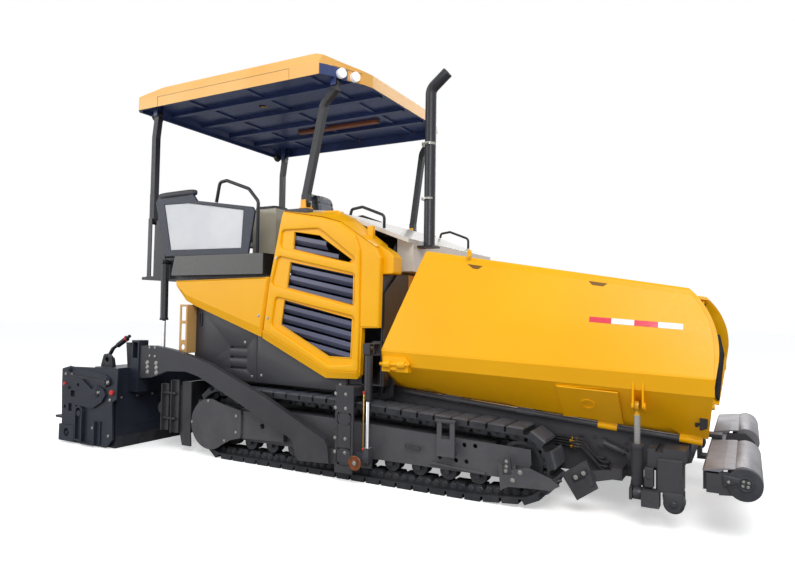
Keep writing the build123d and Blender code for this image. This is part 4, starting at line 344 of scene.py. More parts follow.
# hopper cylinder's rod: grey steel below, yellow enamel at its eye
RAM_ROD = two_tone("steel rod with yellow eye", lambda f: f.zone("Z", 0.735, 0.74), ("9b9a98", "7b7a78"),
                   ("d9a010", "c08c0a"), rough=0.28)
# woven polyester in the seats' middles: pale grey and matte
SEAT_PANEL = rubber("woven polyester", "9a9da4", "84878f", rough=0.75, grain=1.1, strength=0.3)
# blue vinyl on the cupboards' pads: a soft cold sheen
PAD_BLUE = rubber("blue vinyl", "4a5a80", "3c4a6c", rough=0.45, grain=2.4)
# black grained vinyl of the seats: pebbled highlights on the crowns
SEAT = rubber("black vinyl", "2b2d34", "1e2026", rough=0.45, grain=2.4, strength=0.35)
# moulded polypropylene of the seats' shells: mid grey and satin
SEAT_SHELL = rubber("moulded polypropylene", "8c919a", "747983", rough=0.4, grain=1.4, strength=0.15)
# moulded black ABS of the lamps' housings: fine grain, soft shine
PLASTIC = rubber("moulded ABS", "34353a", "27282c", rough=0.48, grain=1.7, strength=0.2)
# frosted acrylic: milky, with hardly anything seen through it
PANE = frosted_pane()
# pressed glass: ribbed rings, and a painted glow over the whole lens
GLOWING_LENS = lamp_glass()
# prismatic reflective sheeting: a fine honeycomb in each colour
RED_TAPE = reflective("red reflective sheeting", "e8304c", "c8223c")
WHITE_TAPE = reflective("white reflective sheeting", "f4f4f6", "dcdee2")

SLOT_MATERIAL = {
    "yellow": YELLOW, "canopy_cream": CANOPY, "charcoal": CHARCOAL, "dark_steel": DARK_STEEL,
    "track_steel": TRACK, "roller_grey": ROLLER, "rod_chrome": CHROME, "black_rubber": RUBBER,
    "slate": SLATE, "frosted": PANE, "seat_black": SEAT, "console_grey": CONSOLE, "hood_grey": HOOD,
    # the lamps' lenses carry a painted glow
    "beige": BEIGE, "lamp_white": GLOWING_LENS,
}
OWN_MATERIAL = {
    WING_YELLOW: ("hopper_wing_right", "hopper_wing_left"),
    TOW_STEEL: ("tow_points",),
    # the screed's dark grey carries painted shade and a painted blue sky reflection
    SKY_TINTED_GREY: ("screed_frame", "screed_extension_right", "screed_extension_left", "end_gate_right", "end_gate_left",
           "screed_walkway"),
    BLACK: ("exhaust", "front_posts", "rear_posts", "level_barrels", "lift_barrels", "grab_rails"),
    RAM_ROD: ("hopper_rod_right", "hopper_rod_left"),
    FRAME_GREY: ("track_frames",),
    FEET: ("post_feet",),
    DECK_BOXES: ("side_consoles",),
    BED: ("hopper_bed",),
    SHIELD: ("side_shields",),
}


def soft_edges(piece, width):
    """Small rounded edges on a piece, as bent and ground steel has."""
    edge = piece.modifiers.new("edges", "BEVEL")
    edge.width = width
    edge.segments = 2
    edge.limit_method = "ANGLE"
    edge.angle_limit = math.radians(32)
    edge.harden_normals = True


def dress(name, material):
    """Gives a CAD node its material, and soft edges by modifiers."""
    piece = NODES[name]
    piece.data.materials.clear()
    piece.data.materials.append(material)
    weld = piece.modifiers.new("weld", "WELD")
    weld.merge_threshold = 0.00002
    soft_edges(piece, 0.004)


for part in frame["record"]["subparts"]:
    dress(part["node"], SLOT_MATERIAL[part["material_slot"]])
for material, names in OWN_MATERIAL.items():
    for name in names:
        NODES[name].data.materials[0] = material


# ---------------------------------------------------------------- building pieces
def finished(name, bm, material, body, bevel=0.0, smooth=False):
    """Makes a piece from a mesh under construction and lets it ride on a body."""
    bmesh.ops.remove_doubles(bm, verts=bm.verts[:], dist=0.00001)
    bmesh.ops.recalc_face_normals(bm, faces=bm.faces[:])
    mesh = bpy.data.meshes.new(name)
    bm.to_mesh(mesh)
    bm.free()
    mesh.materials.append(material)
    mesh.polygons.foreach_set("use_smooth", [smooth] * len(mesh.polygons))
    piece = bpy.data.objects.new(name, mesh)
    bpy.context.scene.collection.objects.link(piece)
    if bevel:
        soft_edges(piece, bevel)
    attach(piece, body)
    return piece


def pair(name, build, material, body, slot, bevel=0.0, smooth=False):
    """A right-hand piece and its mirror; body may hold {side}, otherwise both sides are one piece."""
    sides = ("right", "left")
    if "{side}" in body:
        for side in sides:
            bm = bmesh.new()
            build(bm)
            if side == "left":
                bmesh.ops.scale(bm, vec=(1, -1, 1), verts=bm.verts[:])
            finished(f"{name}_{side}", bm, material, body.format(side=side), bevel, smooth)
        return
    bm = bmesh.new()
    build(bm)
    copied = bmesh.ops.duplicate(bm, geom=bm.verts[:] + bm.edges[:] + bm.faces[:])["geom"]
    bmesh.ops.scale(bm, vec=(1, -1, 1), verts=[g for g in copied if isinstance(g, bmesh.types.BMVert)])
    finished(name, bm, material, body, bevel, smooth)


def single(name, build, material, body, bevel=0.0, smooth=False):
    """A piece that has no mirror."""
    bm = bmesh.new()
    build(bm)
    return finished(name, bm, material, body, bevel, smooth)


def loft(bm, sections):
    """Bridges closed sections, each given by its few corners, and closes both ends."""
    rings = []
    for section in sections:
        corners = [bm.verts.new(corner) for corner in section]
        rings.append([bm.edges.new(pair) for pair in zip(corners, corners[1:] + corners[:1])])
        if section is sections[0] or section is sections[-1]:
            bm.faces.new(corners)
    for near, far in zip(rings, rings[1:]):
        bmesh.ops.bridge_loops(bm, edges=near + far)


def turned(bm, at, axis, profile, segments=28):
    """A turned form: its (offset along the axis, radius) profile, closed to the axis and spun round it."""
    axis = Vector(axis).normalized()
    across = axis.orthogonal().normalized()
    line = [(profile[0][0], 0.0)] + list(profile) + [(profile[-1][0], 0.0)]
    spots = [bm.verts.new(Vector(at) + axis * offset + across * radius) for offset, radius in line]
    edges = [bm.edges.new(pair) for pair in zip(spots, spots[1:])]
    bmesh.ops.spin(bm, geom=spots + edges, cent=at, axis=axis, dvec=(0, 0, 0), angle=2 * math.pi,
                   steps=segments, use_merge=True, use_duplicate=False)


def side_slab(bm, outline, y0, y1, tops=None):
    """A plate from an (x, z) outline at y0 to the same or another outline at y1."""
    loft(bm, [[(x, y0, z) for x, z in outline], [(x, y1, z) for x, z in (tops or outline)]])


def bolts(bm, spots, radius=0.013, height=0.011, axis=(0, -1, 0)):
    """Hexagon bolts on washers at (x, y, z) spots."""
    for at in spots:
        turned(bm, at, axis, [(-0.001, radius * 1.45), (0.0022, radius * 1.45), (0.0026, radius * 1.35)], 20)
        turned(bm, at, axis, [(0.0015, radius), (height * 0.8, radius), (height, radius * 0.82)], 6)


def rod(bm, start, end, radius, segments=20):
    """A round rod with slightly rounded ends."""
    start, end = Vector(start), Vector(end)
    length = (end - start).length
    r = radius * 0.2
    turned(bm, start, end - start, [(0, radius - r), (r, radius), (length - r, radius), (length, radius - r)],
           segments)


def rounded(points, radius, steps=5):
    """A closed outline with its corners rounded."""
    result = []
    count = len(points)
    for i in range(count):
        a, c, b = (Vector(points[j % count]) for j in (i - 1, i, i + 1))
        to_a, to_b = (a - c), (b - c)
        angle = to_a.angle(to_b)
        reach = min(radius / max(math.tan(angle / 2), 0.01), to_a.length * 0.48, to_b.length * 0.48)
        start, end = c + to_a.normalized() * reach, c + to_b.normalized() * reach
        for k in range(steps + 1):
            t = k / steps
            result.append(tuple(start * (1 - t) ** 2 + c * (2 * t * (1 - t)) + end * t ** 2))
    return result


def circle(x, z, radius, corners=16):
    """A round outline on the side plane."""
    turns = [2 * math.pi * i / corners for i in range(corners)]
    return [(x + radius * math.cos(turn), z + radius * math.sin(turn)) for turn in turns]


def contains(outline, spot):
    """Whether a spot is inside an (x, z) outline."""
    crossings = 0
    for (ax, az), (bx, bz) in zip(outline, outline[1:] + outline[:1]):
        if (az > spot.z) != (bz > spot.z) and spot.x < ax + (bx - ax) * (spot.z - az) / (bz - az):
            crossings += 1
    return crossings % 2 == 1


def soft_plate(bm, outlines, y, thickness, soft, steps=4):
    """A plate at y with rounded edges, from (x, z) outlines, the first outside and the others holes."""
    edges = []
    for outline in outlines:
        corners = [bm.verts.new((x, y, z)) for x, z in outline]
        edges += [bm.edges.new(pair) for pair in zip(corners, corners[1:] + corners[:1])]
    filled = bmesh.ops.triangle_fill(bm, use_beauty=True, edges=edges)["geom"]
    faces = [face for face in filled if isinstance(face, bmesh.types.BMFace)]
    wrong = [face for face in faces if any(contains(hole, face.calc_center_median()) for hole in outlines[1:])]
    faces = [face for face in faces if face not in wrong]
    bmesh.ops.delete(bm, geom=wrong, context="FACES_ONLY")
    raised = bmesh.ops.extrude_face_region(bm, geom=faces, use_keep_orig=True)["geom"]
    tops = [part for part in raised if isinstance(part, bmesh.types.BMFace)]
    bmesh.ops.translate(bm, verts=[part for part in raised if isinstance(part, bmesh.types.BMVert)],
                        vec=(0, soft - thickness, 0))
    sides = {face for top in tops for edge in top.edges for face in edge.link_faces}
    bmesh.ops.recalc_face_normals(bm, faces=list(sides | set(faces)))
    for k in range(steps):
        a, b = math.pi / 2 * k / steps, math.pi / 2 * (k + 1) / steps
        bmesh.ops.inset_region(bm, faces=tops, thickness=soft * (math.cos(a) - math.cos(b)),
                               depth=soft * (math.sin(b) - math.sin(a)), use_boundary=True,
                               use_even_offset=True)


def crease_shading(name):
    """Smooth faces with sharp edges kept, on a pair of pieces."""
    for piece in bpy.context.scene.objects:
        if piece.name.startswith(name) and piece.type == "MESH":
            piece.data.set_sharp_from_angle(angle=math.radians(35))


def box(bm, low, high):
    """A block between two corners, for a larger piece."""
    low, high = Vector(low), Vector(high)
    size = high - low
    bmesh.ops.create_cube(bm, size=1.0,
                          matrix=Matrix.Translation((low + high) / 2) @ Matrix.Diagonal((*size, 1.0)))


# ---------------------------------------------------------------- bolts and small plates
ARM_Y = -1.350     # outer face of the tow arms
# piece, body, material, slot, then for each size of bolt: radius, height, y, (x, z) places
FASTENERS = (
    ("door_bolts", "door_{side}", ZINC, "rod_chrome",
     (0.010, 0.009, -1.219, ((-0.447, 1.884), (-0.530, 1.335)))),
    ("panel_bolts", "tractor", ZINC, "rod_chrome", (0.010, 0.009, -1.216, ((-0.643, 1.355),)),
     (0.009, 0.008, -1.152, ((-0.645, 0.799), (-0.854, 1.100), (-1.42, 0.83), (-0.76, 0.78), (0.24, 0.77)))),
    ("tow_arm_bolts", "screed", ZINC, "rod_chrome",
     (0.016, 0.014, ARM_Y,
      ((-1.957, 0.859), (-1.956, 0.814), (-1.954, 0.767), (-1.830, 0.860), (-1.828, 0.814), (-1.826, 0.767))),
     (0.009, 0.008, ARM_Y, ((-1.933, 1.013), (-1.929, 0.930), (-1.856, 1.016), (-1.852, 0.930)))),
    ("guard_bolts", "tractor", ZINC, "rod_chrome",
     (0.009, 0.008, -1.276,
      ((-1.185, 0.532), (-1.393, 0.315), (-0.970, 0.177), (-0.830, 0.420), (-0.830, 0.270)))),
    ("guide_bolts", "tractor", ZINC, "rod_chrome",
     (0.010, 0.009, -1.345, [(x, z) for x in (0.325, 0.425) for z in (0.722, 0.606, 0.358, 0.243)])),
    ("guide_roller_bolt", "tow_points", ZINC, "rod_chrome", (0.013, 0.010, -1.398, ((0.552, 0.185),))),
    ("nose_bolts", "tractor", ZINC, "rod_chrome",
     (0.009, 0.008, -1.277, ((1.786, 0.331), (1.786, 0.294), (1.782, 0.262))),
     (0.012, 0.011, -1.277, ((1.890, 0.264), (1.834, 0.200)))),
    ("plough_bolts", "tractor", ZINC, "rod_chrome", (0.011, 0.010, -1.176, ((2.262, 0.260), (2.316, 0.295)))),
    ("frame_bolts", "tractor", DARK_STEEL, "dark_steel",
     (0.011, 0.010, -0.918, ((2.248, 0.515), (2.338, 0.512), (2.404, 0.478), (2.560, 0.490), (2.589, 0.520)))),
    ("gate_bolts", "screed_extension_{side}", ZINC, "rod_chrome",
     (0.015, 0.012, -1.576, ((-2.391, 0.553), (-2.251, 0.662))),
     (0.011, 0.010, -1.552,
      ((-2.242, 0.486), (-2.495, 0.184), (-2.860, 0.552), (-2.848, 0.717), (-2.250, 0.130), (-2.955, 0.705)))),
    ("roller_end_bolts", "push_beam", ZINC, "rod_chrome",
     (0.006, 0.006, -1.3065,
      [(3.318 + 0.02 * math.cos(t), 0.388 + 0.02 * math.sin(t)) for t in (0.6, 2.2, 3.8, 5.4)]),
     (0.006, 0.006, -1.3105, ((3.225, 0.392),))),
    ("skid_bolt", "tractor", DARK_STEEL, "dark_steel", (0.020, 0.012, -1.240, ((2.905, 0.185),))),
    ("box_screw", "tractor", DARK_STEEL, "dark_steel", (0.009, 0.007, -1.236, ((2.752, 0.335),))),
)
# piece, body, material, slot, smooth,
# then for each plate: y, thickness, edge radius, steps of the edge, outlines
PLATES = (
    ("panel_latch", "tractor", BLACK, "charcoal", True,
     (-1.152, 0.010, 0.004, 3,
      (rounded([(-1.456, 1.239), (-1.414, 1.239), (-1.414, 1.372), (-1.456, 1.372)], 0.012),
       rounded([(-1.447, 1.255), (-1.423, 1.255), (-1.423, 1.356), (-1.447, 1.356)], 0.008)))),
    ("flap_rims", "wing_{side}", RUBBER, "black_rubber", True,
     (-0.945, 0.030, 0.008, 3,
      (rounded([(3.040, 1.190), (3.100, 1.265), (3.142, 1.057), (3.096, 0.600), (3.046, 0.690)], 0.03),)),
     (-1.040, 0.014, 0.004, 2,
      (rounded([(3.030, 1.225), (3.085, 1.225), (3.075, 0.700), (3.020, 0.660)], 0.01),)),
     (-1.075, 0.012, 0.004, 2,
      (rounded([(3.060, 1.150), (3.112, 1.150), (3.098, 0.670), (3.050, 0.650)], 0.01),))),
    ("nose_lug", "tractor", CHARCOAL, "charcoal", True,
     (-1.262, 0.0155, 0.004, 2,
      (rounded([(1.758, 0.352), (1.812, 0.360), (1.829, 0.240), (1.751, 0.232)], 0.015),))),
    ("plough_strip", "tractor", BLACK, "charcoal", True,
     (-1.165, 0.011, 0.003, 2,
      (rounded([(2.225, 0.262), (2.329, 0.330), (2.356, 0.292), (2.250, 0.222)], 0.008),))),
    ("beam_handle", "tractor", DARK_STEEL, "dark_steel", True,
     (-1.226, 0.006, 0.002, 2, (rounded([(0.920, 0.322), (1.062, 0.312), (1.062, 0.348), (0.920, 0.358)], 0.01),
                                rounded([(0.932, 0.330), (1.050, 0.321), (1.050, 0.340), (0.932, 0.349)],
                                        0.006)))),
    ("gate_seam", "screed_extension_{side}", DARK_STEEL, "charcoal", False,
     (-1.5495, 0.005, 0.002, 2, ([(-2.905, 0.706), (-2.235, 0.660), (-2.235, 0.650), (-2.905, 0.696)],))),
    ("lifting_lug", "screed", BLACK, "charcoal", True,
     (-1.402, 0.022, 0.005, 3, (rounded([(-2.585, 0.785), (-2.535, 0.925), (-2.470, 0.935), (-2.405, 0.905),
                                         (-2.385, 0.785)], 0.03), circle(-2.480, 0.868, 0.026)))),
    ("roller_end", "push_beam", DARK_STEEL, "dark_steel", True,
     (-1.2945, 0.012, 0.004, 3, (circle(3.313, 0.382, 0.100, 40),)),
     (-1.3065, 0.008, 0.003, 2, (circle(3.318, 0.388, 0.046, 40), circle(3.318, 0.388, 0.034, 40))),
     (-1.2945, 0.016, 0.004, 2,
      (rounded([(3.190, 0.435), (3.290, 0.418), (3.300, 0.398), (3.195, 0.352)], 0.01),))),
    ("slot_plate", "tractor", BLACK, "charcoal", True,
     (-1.000, 0.010, 0.003, 2, ([(0.531, 0.884), (0.620, 0.950), (0.688, 0.840), (0.688, 0.690), (0.667, 0.674),
                                 (0.535, 0.637)],
                                rounded([(0.640, 0.880), (0.660, 0.880), (0.615, 0.800), (0.600, 0.700),
                                         (0.578, 0.705), (0.594, 0.812)], 0.008)))),
)


def bolt_group(bm, sizes):
    for radius, height, y, places in sizes:
        bolts(bm, [(x, y, z) for x, z in places], radius, height)


def plate_group(bm, plates):
    for y, thickness, edge_radius, steps, outlines in plates:
        soft_plate(bm, outlines, y, thickness, edge_radius, steps)


for name, body, material, slot, *sizes in FASTENERS:
    pair(name, lambda bm: bolt_group(bm, sizes), material, body, slot)
for name, body, material, slot, smooth, *plates in PLATES:
    pair(name, lambda bm: plate_group(bm, plates), material, body, slot, smooth=smooth)


# ---------------------------------------------------------------- side doors and panels
DOOR_Y = -1.2
DOOR_RAISED = [(-0.388, 2.303), (0.05, 2.226), (0.238, 2.172), (0.40, 2.065), (0.452, 1.93), (0.458, 1.27),
               (0.455, 0.915), (0.440, 0.892), (0.140, 0.892), (-0.585, 1.217), (-0.516, 1.714)]
DOOR_POCKETS = ([(-0.392, 2.140), (0.016, 2.136), (0.092, 2.090), (0.396, 1.868), (0.405, 1.815),
                 (-0.405, 1.974)],
                [(-0.430, 1.905), (0.408, 1.728), (0.408, 1.437), (-0.502, 1.641)],
                [(-0.450, 1.533), (0.408, 1.364), (0.412, 0.998), (0.381, 0.955), (0.16, 0.938),
                 (-0.492, 1.268)])


def door_frame(bm):
    """Raised frame round the louvre windows, with rounded edges."""
    soft_plate(bm, [rounded(DOOR_RAISED, 0.045)] + [rounded(p, 0.045) for p in DOOR_POCKETS], DOOR_Y, 0.020,
               0.012)


def door_lower_band(bm):
    """Sloping band along the door's lower edge."""
    low = [(-0.603, 1.151), (0.116, 0.829), (0.438, 0.839), (0.463, 0.871)]
    high = [(0.463, 0.900), (0.440, 0.894), (0.140, 0.894), (-0.590, 1.222)]
    top = [(-0.589, 1.214), (0.138, 0.889), (0.441, 0.889), (0.458, 0.895)]
    side_slab(bm, low + high, DOOR_Y + 0.0005, DOOR_Y - 0.019, top + [(0.459, 0.898)] + high[1:])


def door_front_band(bm):
    """Flat raised band along the door's front edge."""
    side_slab(bm, [(0.462, 1.905), (0.608, 1.935), (0.646, 1.860), (0.636, 1.276), (0.462, 1.276)],
              DOOR_Y + 0.0005, DOOR_Y - 0.006,
              [(0.468, 1.898), (0.604, 1.928), (0.640, 1.858), (0.630, 1.282), (0.468, 1.282)])


def rear_panel_band(bm):
    """Raised band on the panel behind the door."""
    side_slab(bm, [(-0.541, 1.711), (-1.748, 1.686), (-1.739, 1.641), (-1.597, 1.494), (-1.479, 1.445),
                   (-0.622, 1.162)],
              DOOR_Y + 0.0005, DOOR_Y - 0.016, [(-0.556, 1.698), (-1.733, 1.673), (-1.726, 1.648),
                                                (-1.602, 1.552), (-1.500, 1.519), (-0.628, 1.246)])


def window_lips(bm):
    """Turned lips round the louvre windows."""
    for window in ([(-0.249, 2.117), (0.024, 2.073), (0.365, 1.85), (0.34, 1.828), (-0.261, 1.965)],
                   [(-0.289, 1.845), (0.385, 1.714), (0.383, 1.462), (-0.323, 1.616)],
                   [(-0.352, 1.501), (0.379, 1.343), (0.369, 1.014), (0.147, 1.016), (-0.386, 1.277)]):
        middle = Vector((sum(p[0] for p in window), sum(p[1] for p in window))) / len(window)
        outer = [tuple(Vector(p) + (Vector(p) - middle).normalized() * 0.012) for p in window]
        soft_plate(bm, [outer, window], DOOR_Y + 0.0005, 0.005, 0.002, 2)


def louvre_blades(bm):
    """Sloping blades below the louvres' slats."""
    for i in range(12):
        z = 1.010 + i * 0.092
        x0 = -0.418 + (z - 1.180) * 0.143 if z > 1.180 else -0.428 + (1.180 - z) * 1.9
        x1 = 0.408 if z < 1.8 else 0.408 - (z - 1.8) * 1.45
        if x1 - x0 < 0.12:
            continue
        loft(bm, [[(x, -1.1890, z + 0.006 - x * 0.194), (x, -1.1890, z - 0.022 - x * 0.194),
                   (x, -1.1550, z - 0.062 - x * 0.194), (x, -1.1525, z - 0.060 - x * 0.194),
                   (x, -1.1860, z - 0.018 - x * 0.194), (x, -1.1860, z + 0.006 - x * 0.194)] for x in (x0, x1)])


def service_panels(bm):
    """Two dark covers below the door, the rear one with three slots."""
    slots = [rounded([(-1.040, z - 0.012), (-0.826, z - 0.012), (-0.826, z + 0.012), (-1.040, z + 0.012)],
                     0.008) for z in (1.046, 0.951, 0.852)]
    soft_plate(bm, [[(-1.462, 1.425), (-1.462, 0.792), (-1.374, 0.745), (-0.709, 0.734), (-0.709, 1.178)]] +
               slots, -1.148, 0.004, 0.0015, 2)
    soft_plate(bm, [[(-0.700, 1.170), (-0.625, 1.136), (0.100, 0.808), (0.300, 0.812), (0.300, 0.724),
                     (-0.700, 0.734)]], -1.148, 0.004, 0.0015, 2)


pair("door_frame", door_frame, YELLOW, "door_{side}", "yellow", smooth=True)
pair("door_lower_band", door_lower_band, YELLOW, "door_{side}", "yellow", bevel=0.005)
pair("door_front_band", door_front_band, YELLOW, "door_{side}", "yellow", bevel=0.003)
pair("window_lips", window_lips, YELLOW, "door_{side}", "yellow", smooth=True)
pair("louvre_blades", louvre_blades, SLATE, "door_{side}", "slate")
pair("rear_panel_band", rear_panel_band, YELLOW, "tractor", "yellow", bevel=0.006)
pair("service_panels", service_panels, CHARCOAL, "tractor", "charcoal", smooth=True)


# ---------------------------------------------------------------- shoulders, post feet
def shoulder_cover(bm):
    """Rounded yellow cover before the door's front edge."""
    side_slab(bm, rounded([(0.500, 1.722), (0.742, 1.726), (0.746, 1.868), (0.700, 1.915), (0.600, 1.972),
                           (0.500, 2.015)], 0.02), -1.146, -0.992)


def lug_bracket(bm):
    """Two cheeks with pin holes on a foot, on the shoulder."""
    for y in (-1.012, -0.940):
        soft_plate(bm, [rounded([(-0.07, 2.325), (0.102, 2.319), (0.128, 2.225), (-0.085, 2.250)], 0.02),
                        circle(-0.030, 2.289, 0.017),
                        circle(0.070, 2.287, 0.017)], y, 0.012, 0.003, 2)
    box(bm, (-0.08, -1.012, 2.216), (0.125, -0.940, 2.250))


def rail_stub(bm):
    """The hand rail's short post at the door's front edge."""
    loft(bm, [[(0.452, -1.10, 1.94), (0.508, -1.10, 1.90), (0.508, -1.055, 1.90), (0.452, -1.055, 1.94)],
              [(0.452, -1.10, 2.145), (0.508, -1.10, 2.152), (0.508, -1.055, 2.152), (0.452, -1.055, 2.145)]])


pair("shoulder_cover", shoulder_cover, YELLOW, "tractor", "yellow", bevel=0.008)
pair("lug_bracket", lug_bracket, YELLOW, "tractor", "yellow")
pair("rail_stub", rail_stub, YELLOW, "tractor", "yellow", bevel=0.006)


# ---------------------------------------------------------------- hopper wings
WING_REAR, WING_LENGTH = 0.7, 2.48
CREASE_Y, CREASE_Z = 1.250, 1.096


def wing_crease(x):
    """Height of the crease between the wing's lower and upper sheet."""
    return CREASE_Z - 0.084 * (x - WING_REAR) / WING_LENGTH


def wing_spot(x, v, out):
    """A point of the wing's upper sheet: v from 0 at the crease to 1 at the top, out beyond the sheet."""
    share = (x - WING_REAR) / WING_LENGTH
    low, top_y, top_z = wing_crease(x), 1.030 - 0.025 * share, 1.950 - 0.395 * share
    fold = (1.395 - 0.026 * (x - WING_REAR) - low) / (top_z - low)
    bulge = 0.022 * (v / fold if v < fold else (1 - v) / (1 - fold))
    return Vector((x, -(CREASE_Y + (top_y - CREASE_Y) * v + bulge + out), low + (top_z - low) * v)), fold


def wing_line(u, v, out):
    """The spot at a share u between the rear edge and the front edge, a little inside both."""
    x0 = x1 = 1.0
    for _ in range(4):
        z = wing_spot(x0, v, 0)[0].z
        x0 = 0.712 + max(z - CREASE_Z, 0) * 0.31 / 0.894
    for _ in range(6):
        z = wing_spot(x1, v, 0)[0].z
        x1 = 3.146 - 1.266 * max(z - 1.12, 0) ** 2.62
    return wing_spot(x0 + (x1 - x0) * u, v, out)[0]


def wing_skin(bm):
    """Outer skin of the upper sheet, a grid laid on it and extruded back to the sheet."""
    bmesh.ops.create_grid(bm, x_segments=24, y_segments=14, size=0.5)
    back = bmesh.ops.extrude_face_region(bm, geom=bm.faces[:], use_keep_orig=True)["geom"]
    behind = {part for part in back if isinstance(part, bmesh.types.BMVert)}
    for vertex in bm.verts:
        u, v = vertex.co.x + 0.5, 0.003 + 0.952 * (vertex.co.y + 0.5)
        fold = wing_spot(1.9, 0, 0)[1]
        bulge = 0.022 * min(v / fold, (1 - v) / (1 - fold))
        vertex.co = wing_line(u, v, -0.004 - bulge if vertex in behind else 0.006)


def wing_band(bm):
    """The folded strip below the crease, leaning in to the lower sheet."""
    sections = []
    for i in range(13):
        x = 0.712 + 2.436 * i / 12
        low = wing_crease(x)
        sections.append([(x, -1.2495, low + 0.004), (x, -1.2580, low + 0.002), (x, -1.2600, low - 0.006),
                         (x, -1.2270, low - 0.121), (x, -1.2235, low - 0.121)])
    loft(bm, sections)


def wing_notch(bm, corners):
    """A plate in painted shade, standing for the dark inside of a notch under the rolled top edge."""
    points = [wing_spot(x, v, 0.0)[0] for x, v in corners]
    loft(bm, [[p + Vector((0, 0.004, 0)) for p in points], [p + Vector((0, -0.0075, 0)) for p in points]])


def stripe(bm, x0, x1):
    """One length of reflective strip, bent to the wing's skin."""
    sections = []
    for k in range(7):
        x = x0 + (x1 - x0) * k / 6
        section = []
        for out, rise in ((0.0055, 0), (0.0072, 0), (0.0072, 0.038), (0.0055, 0.038)):
            v = 0.3
            for _ in range(5):
                v += (1.359 - 0.065 * (x - 2.348) + rise - wing_spot(x, v, 0)[0].z) / 0.7
            section.append(wing_spot(x, v, out)[0])
        sections.append(section)
    loft(bm, sections)


def lock_plate(bm):
    """Six-sided plate behind the wing's lock."""
    side_slab(bm,
              [(0.727, 1.047), (0.924, 1.045), (0.971, 0.991), (0.934, 0.932), (0.793, 0.940), (0.720, 0.964)],
              -1.240, -1.2665)


def lock_pin(bm):
    """The wing lock's pin in its two sleeves."""
    rod(bm, (0.735, -1.268, 0.985), (0.800, -1.268, 0.985), 0.034)
    rod(bm, (0.862, -1.268, 0.985), (0.935, -1.268, 0.985), 0.034)
    rod(bm, (0.700, -1.268, 0.985), (0.955, -1.268, 0.985), 0.014)


def patch_face(bm):
    """Raised plate on the lower sheet, round the port."""
    slope = (Vector((-1.225, 0.925)) - Vector((-0.953, 0.640))).normalized()
    out = Vector((-slope.y, slope.x))
    if out.y > 0:
        out = -out
    loops = []
    for lift, shrink in ((0.0, 0.0), (0.0075, 0.004)):
        loop = []
        for x, s in ((2.130, 0.06), (2.554, 0.06), (2.554, 0.92), (2.130, 0.92)):
            z0 = 0.738 - HINGE_SLOPE * (x - WING_REAR) + 0.029
            z1 = wing_crease(x) - 0.120
            low, high = Vector((-0.953, z0)), Vector((-1.225, z1))
            base = low + (high - low) * (s + (shrink if s < 0.5 else -shrink) * 2)
            spot = base + out * (0.0085 + lift)
            loop.append((x + (shrink if x < 2.3 else -shrink), spot.x, spot.y))
        loops.append(loop)
    loft(bm, loops)


def wing_notches(bm):
    """Two plates in painted shade, standing for the dark insides of notches under the rolled top edge."""
    wing_notch(bm, [(1.366, 0.945), (1.497, 0.945), (1.461, 0.905), (1.418, 0.905)])
    wing_notch(bm, [(2.317, 0.945), (2.451, 0.945), (2.421, 0.905), (2.344, 0.905)])


def wing_lugs(bm):
    """A rounded lug on the wing's top edge."""
    side_slab(bm, rounded([(1.365, 1.855), (1.405, 1.855), (1.400, 1.915), (1.375, 1.915)], 0.012), -1.045,
              -1.062)


pair("wing_skin", wing_skin, YELLOW, "wing_{side}", "yellow", bevel=0.003, smooth=True)
pair("wing_band", wing_band, YELLOW, "wing_{side}", "yellow", bevel=0.002)
# plates in painted shade stand for the notches' dark insides
pair("wing_notches", wing_notches, PAINTED_NOTCH_SHADE, "wing_{side}", "yellow")
pair("wing_lugs", wing_lugs, YELLOW, "wing_{side}", "yellow", bevel=0.002)
pair("stripe_red", lambda bm: (stripe(bm, 2.348, 2.498), stripe(bm, 2.650, 2.802)), RED_TAPE, "wing_{side}",
     "yellow")
pair("stripe_white", lambda bm: (stripe(bm, 2.4985, 2.6495), stripe(bm, 2.8025, 2.957)), WHITE_TAPE,
     "wing_{side}", "yellow")
pair("lock_plate", lock_plate, YELLOW, "wing_{side}", "yellow", bevel=0.003)
pair("lock_pin", lock_pin, YELLOW, "wing_{side}", "yellow", smooth=True)
pair("patch_face", patch_face, YELLOW, "wing_{side}", "yellow", bevel=0.002)


# ---------------------------------------------------------------- tow arms, guides, track frames
def gauge_caps(bm):
    """Red caps at both ends of the levelling gauge's rod."""
    rod(bm, (0.604, -1.352, 0.738), (0.604, -1.352, 0.762), 0.009)
    rod(bm, (0.604, -1.352, 0.288), (0.604, -1.352, 0.306), 0.009)


def guide_roller_cap(bm):
    """Turned cap on the tow arm's guide roller."""
    turned(bm, (0.552, -1.3905, 0.185), (0, -1, 0), [(0, 0.058), (0.004, 0.060), (0.007, 0.056), (0.007, 0.046),
                                                     (0.003, 0.044), (0.003, 0.024), (0.008, 0.022)])


pair("gauge_rods", lambda bm: rod(bm, (0.604, -1.352, 0.300), (0.604, -1.352, 0.745), 0.005), BRASS,
     "tow_points", "rod_chrome", smooth=True)
pair("gauge_caps", gauge_caps, RED_PLASTIC, "tow_points", "black_rubber", smooth=True)
pair("guide_roller_cap", guide_roller_cap, PIN_ORANGE, "tow_points", "dark_steel")
pair("plough_rod", lambda bm: rod(bm, (2.055, -1.215, 0.189), (2.172, -1.215, 0.234), 0.012), DARK_STEEL,
     "tractor", "dark_steel", smooth=True)


# ---------------------------------------------------------------- track shoes
SHOES = 50
# the chain's pitch line round five wheels: each (x, z, radius)
BELT = [(-1.040, 0.171, 0.106), (1.520, 0.171, 0.106), (1.855, 0.300, 0.207), (0.225, 0.513, 0.075),
        (-1.062, 0.367, 0.245)]


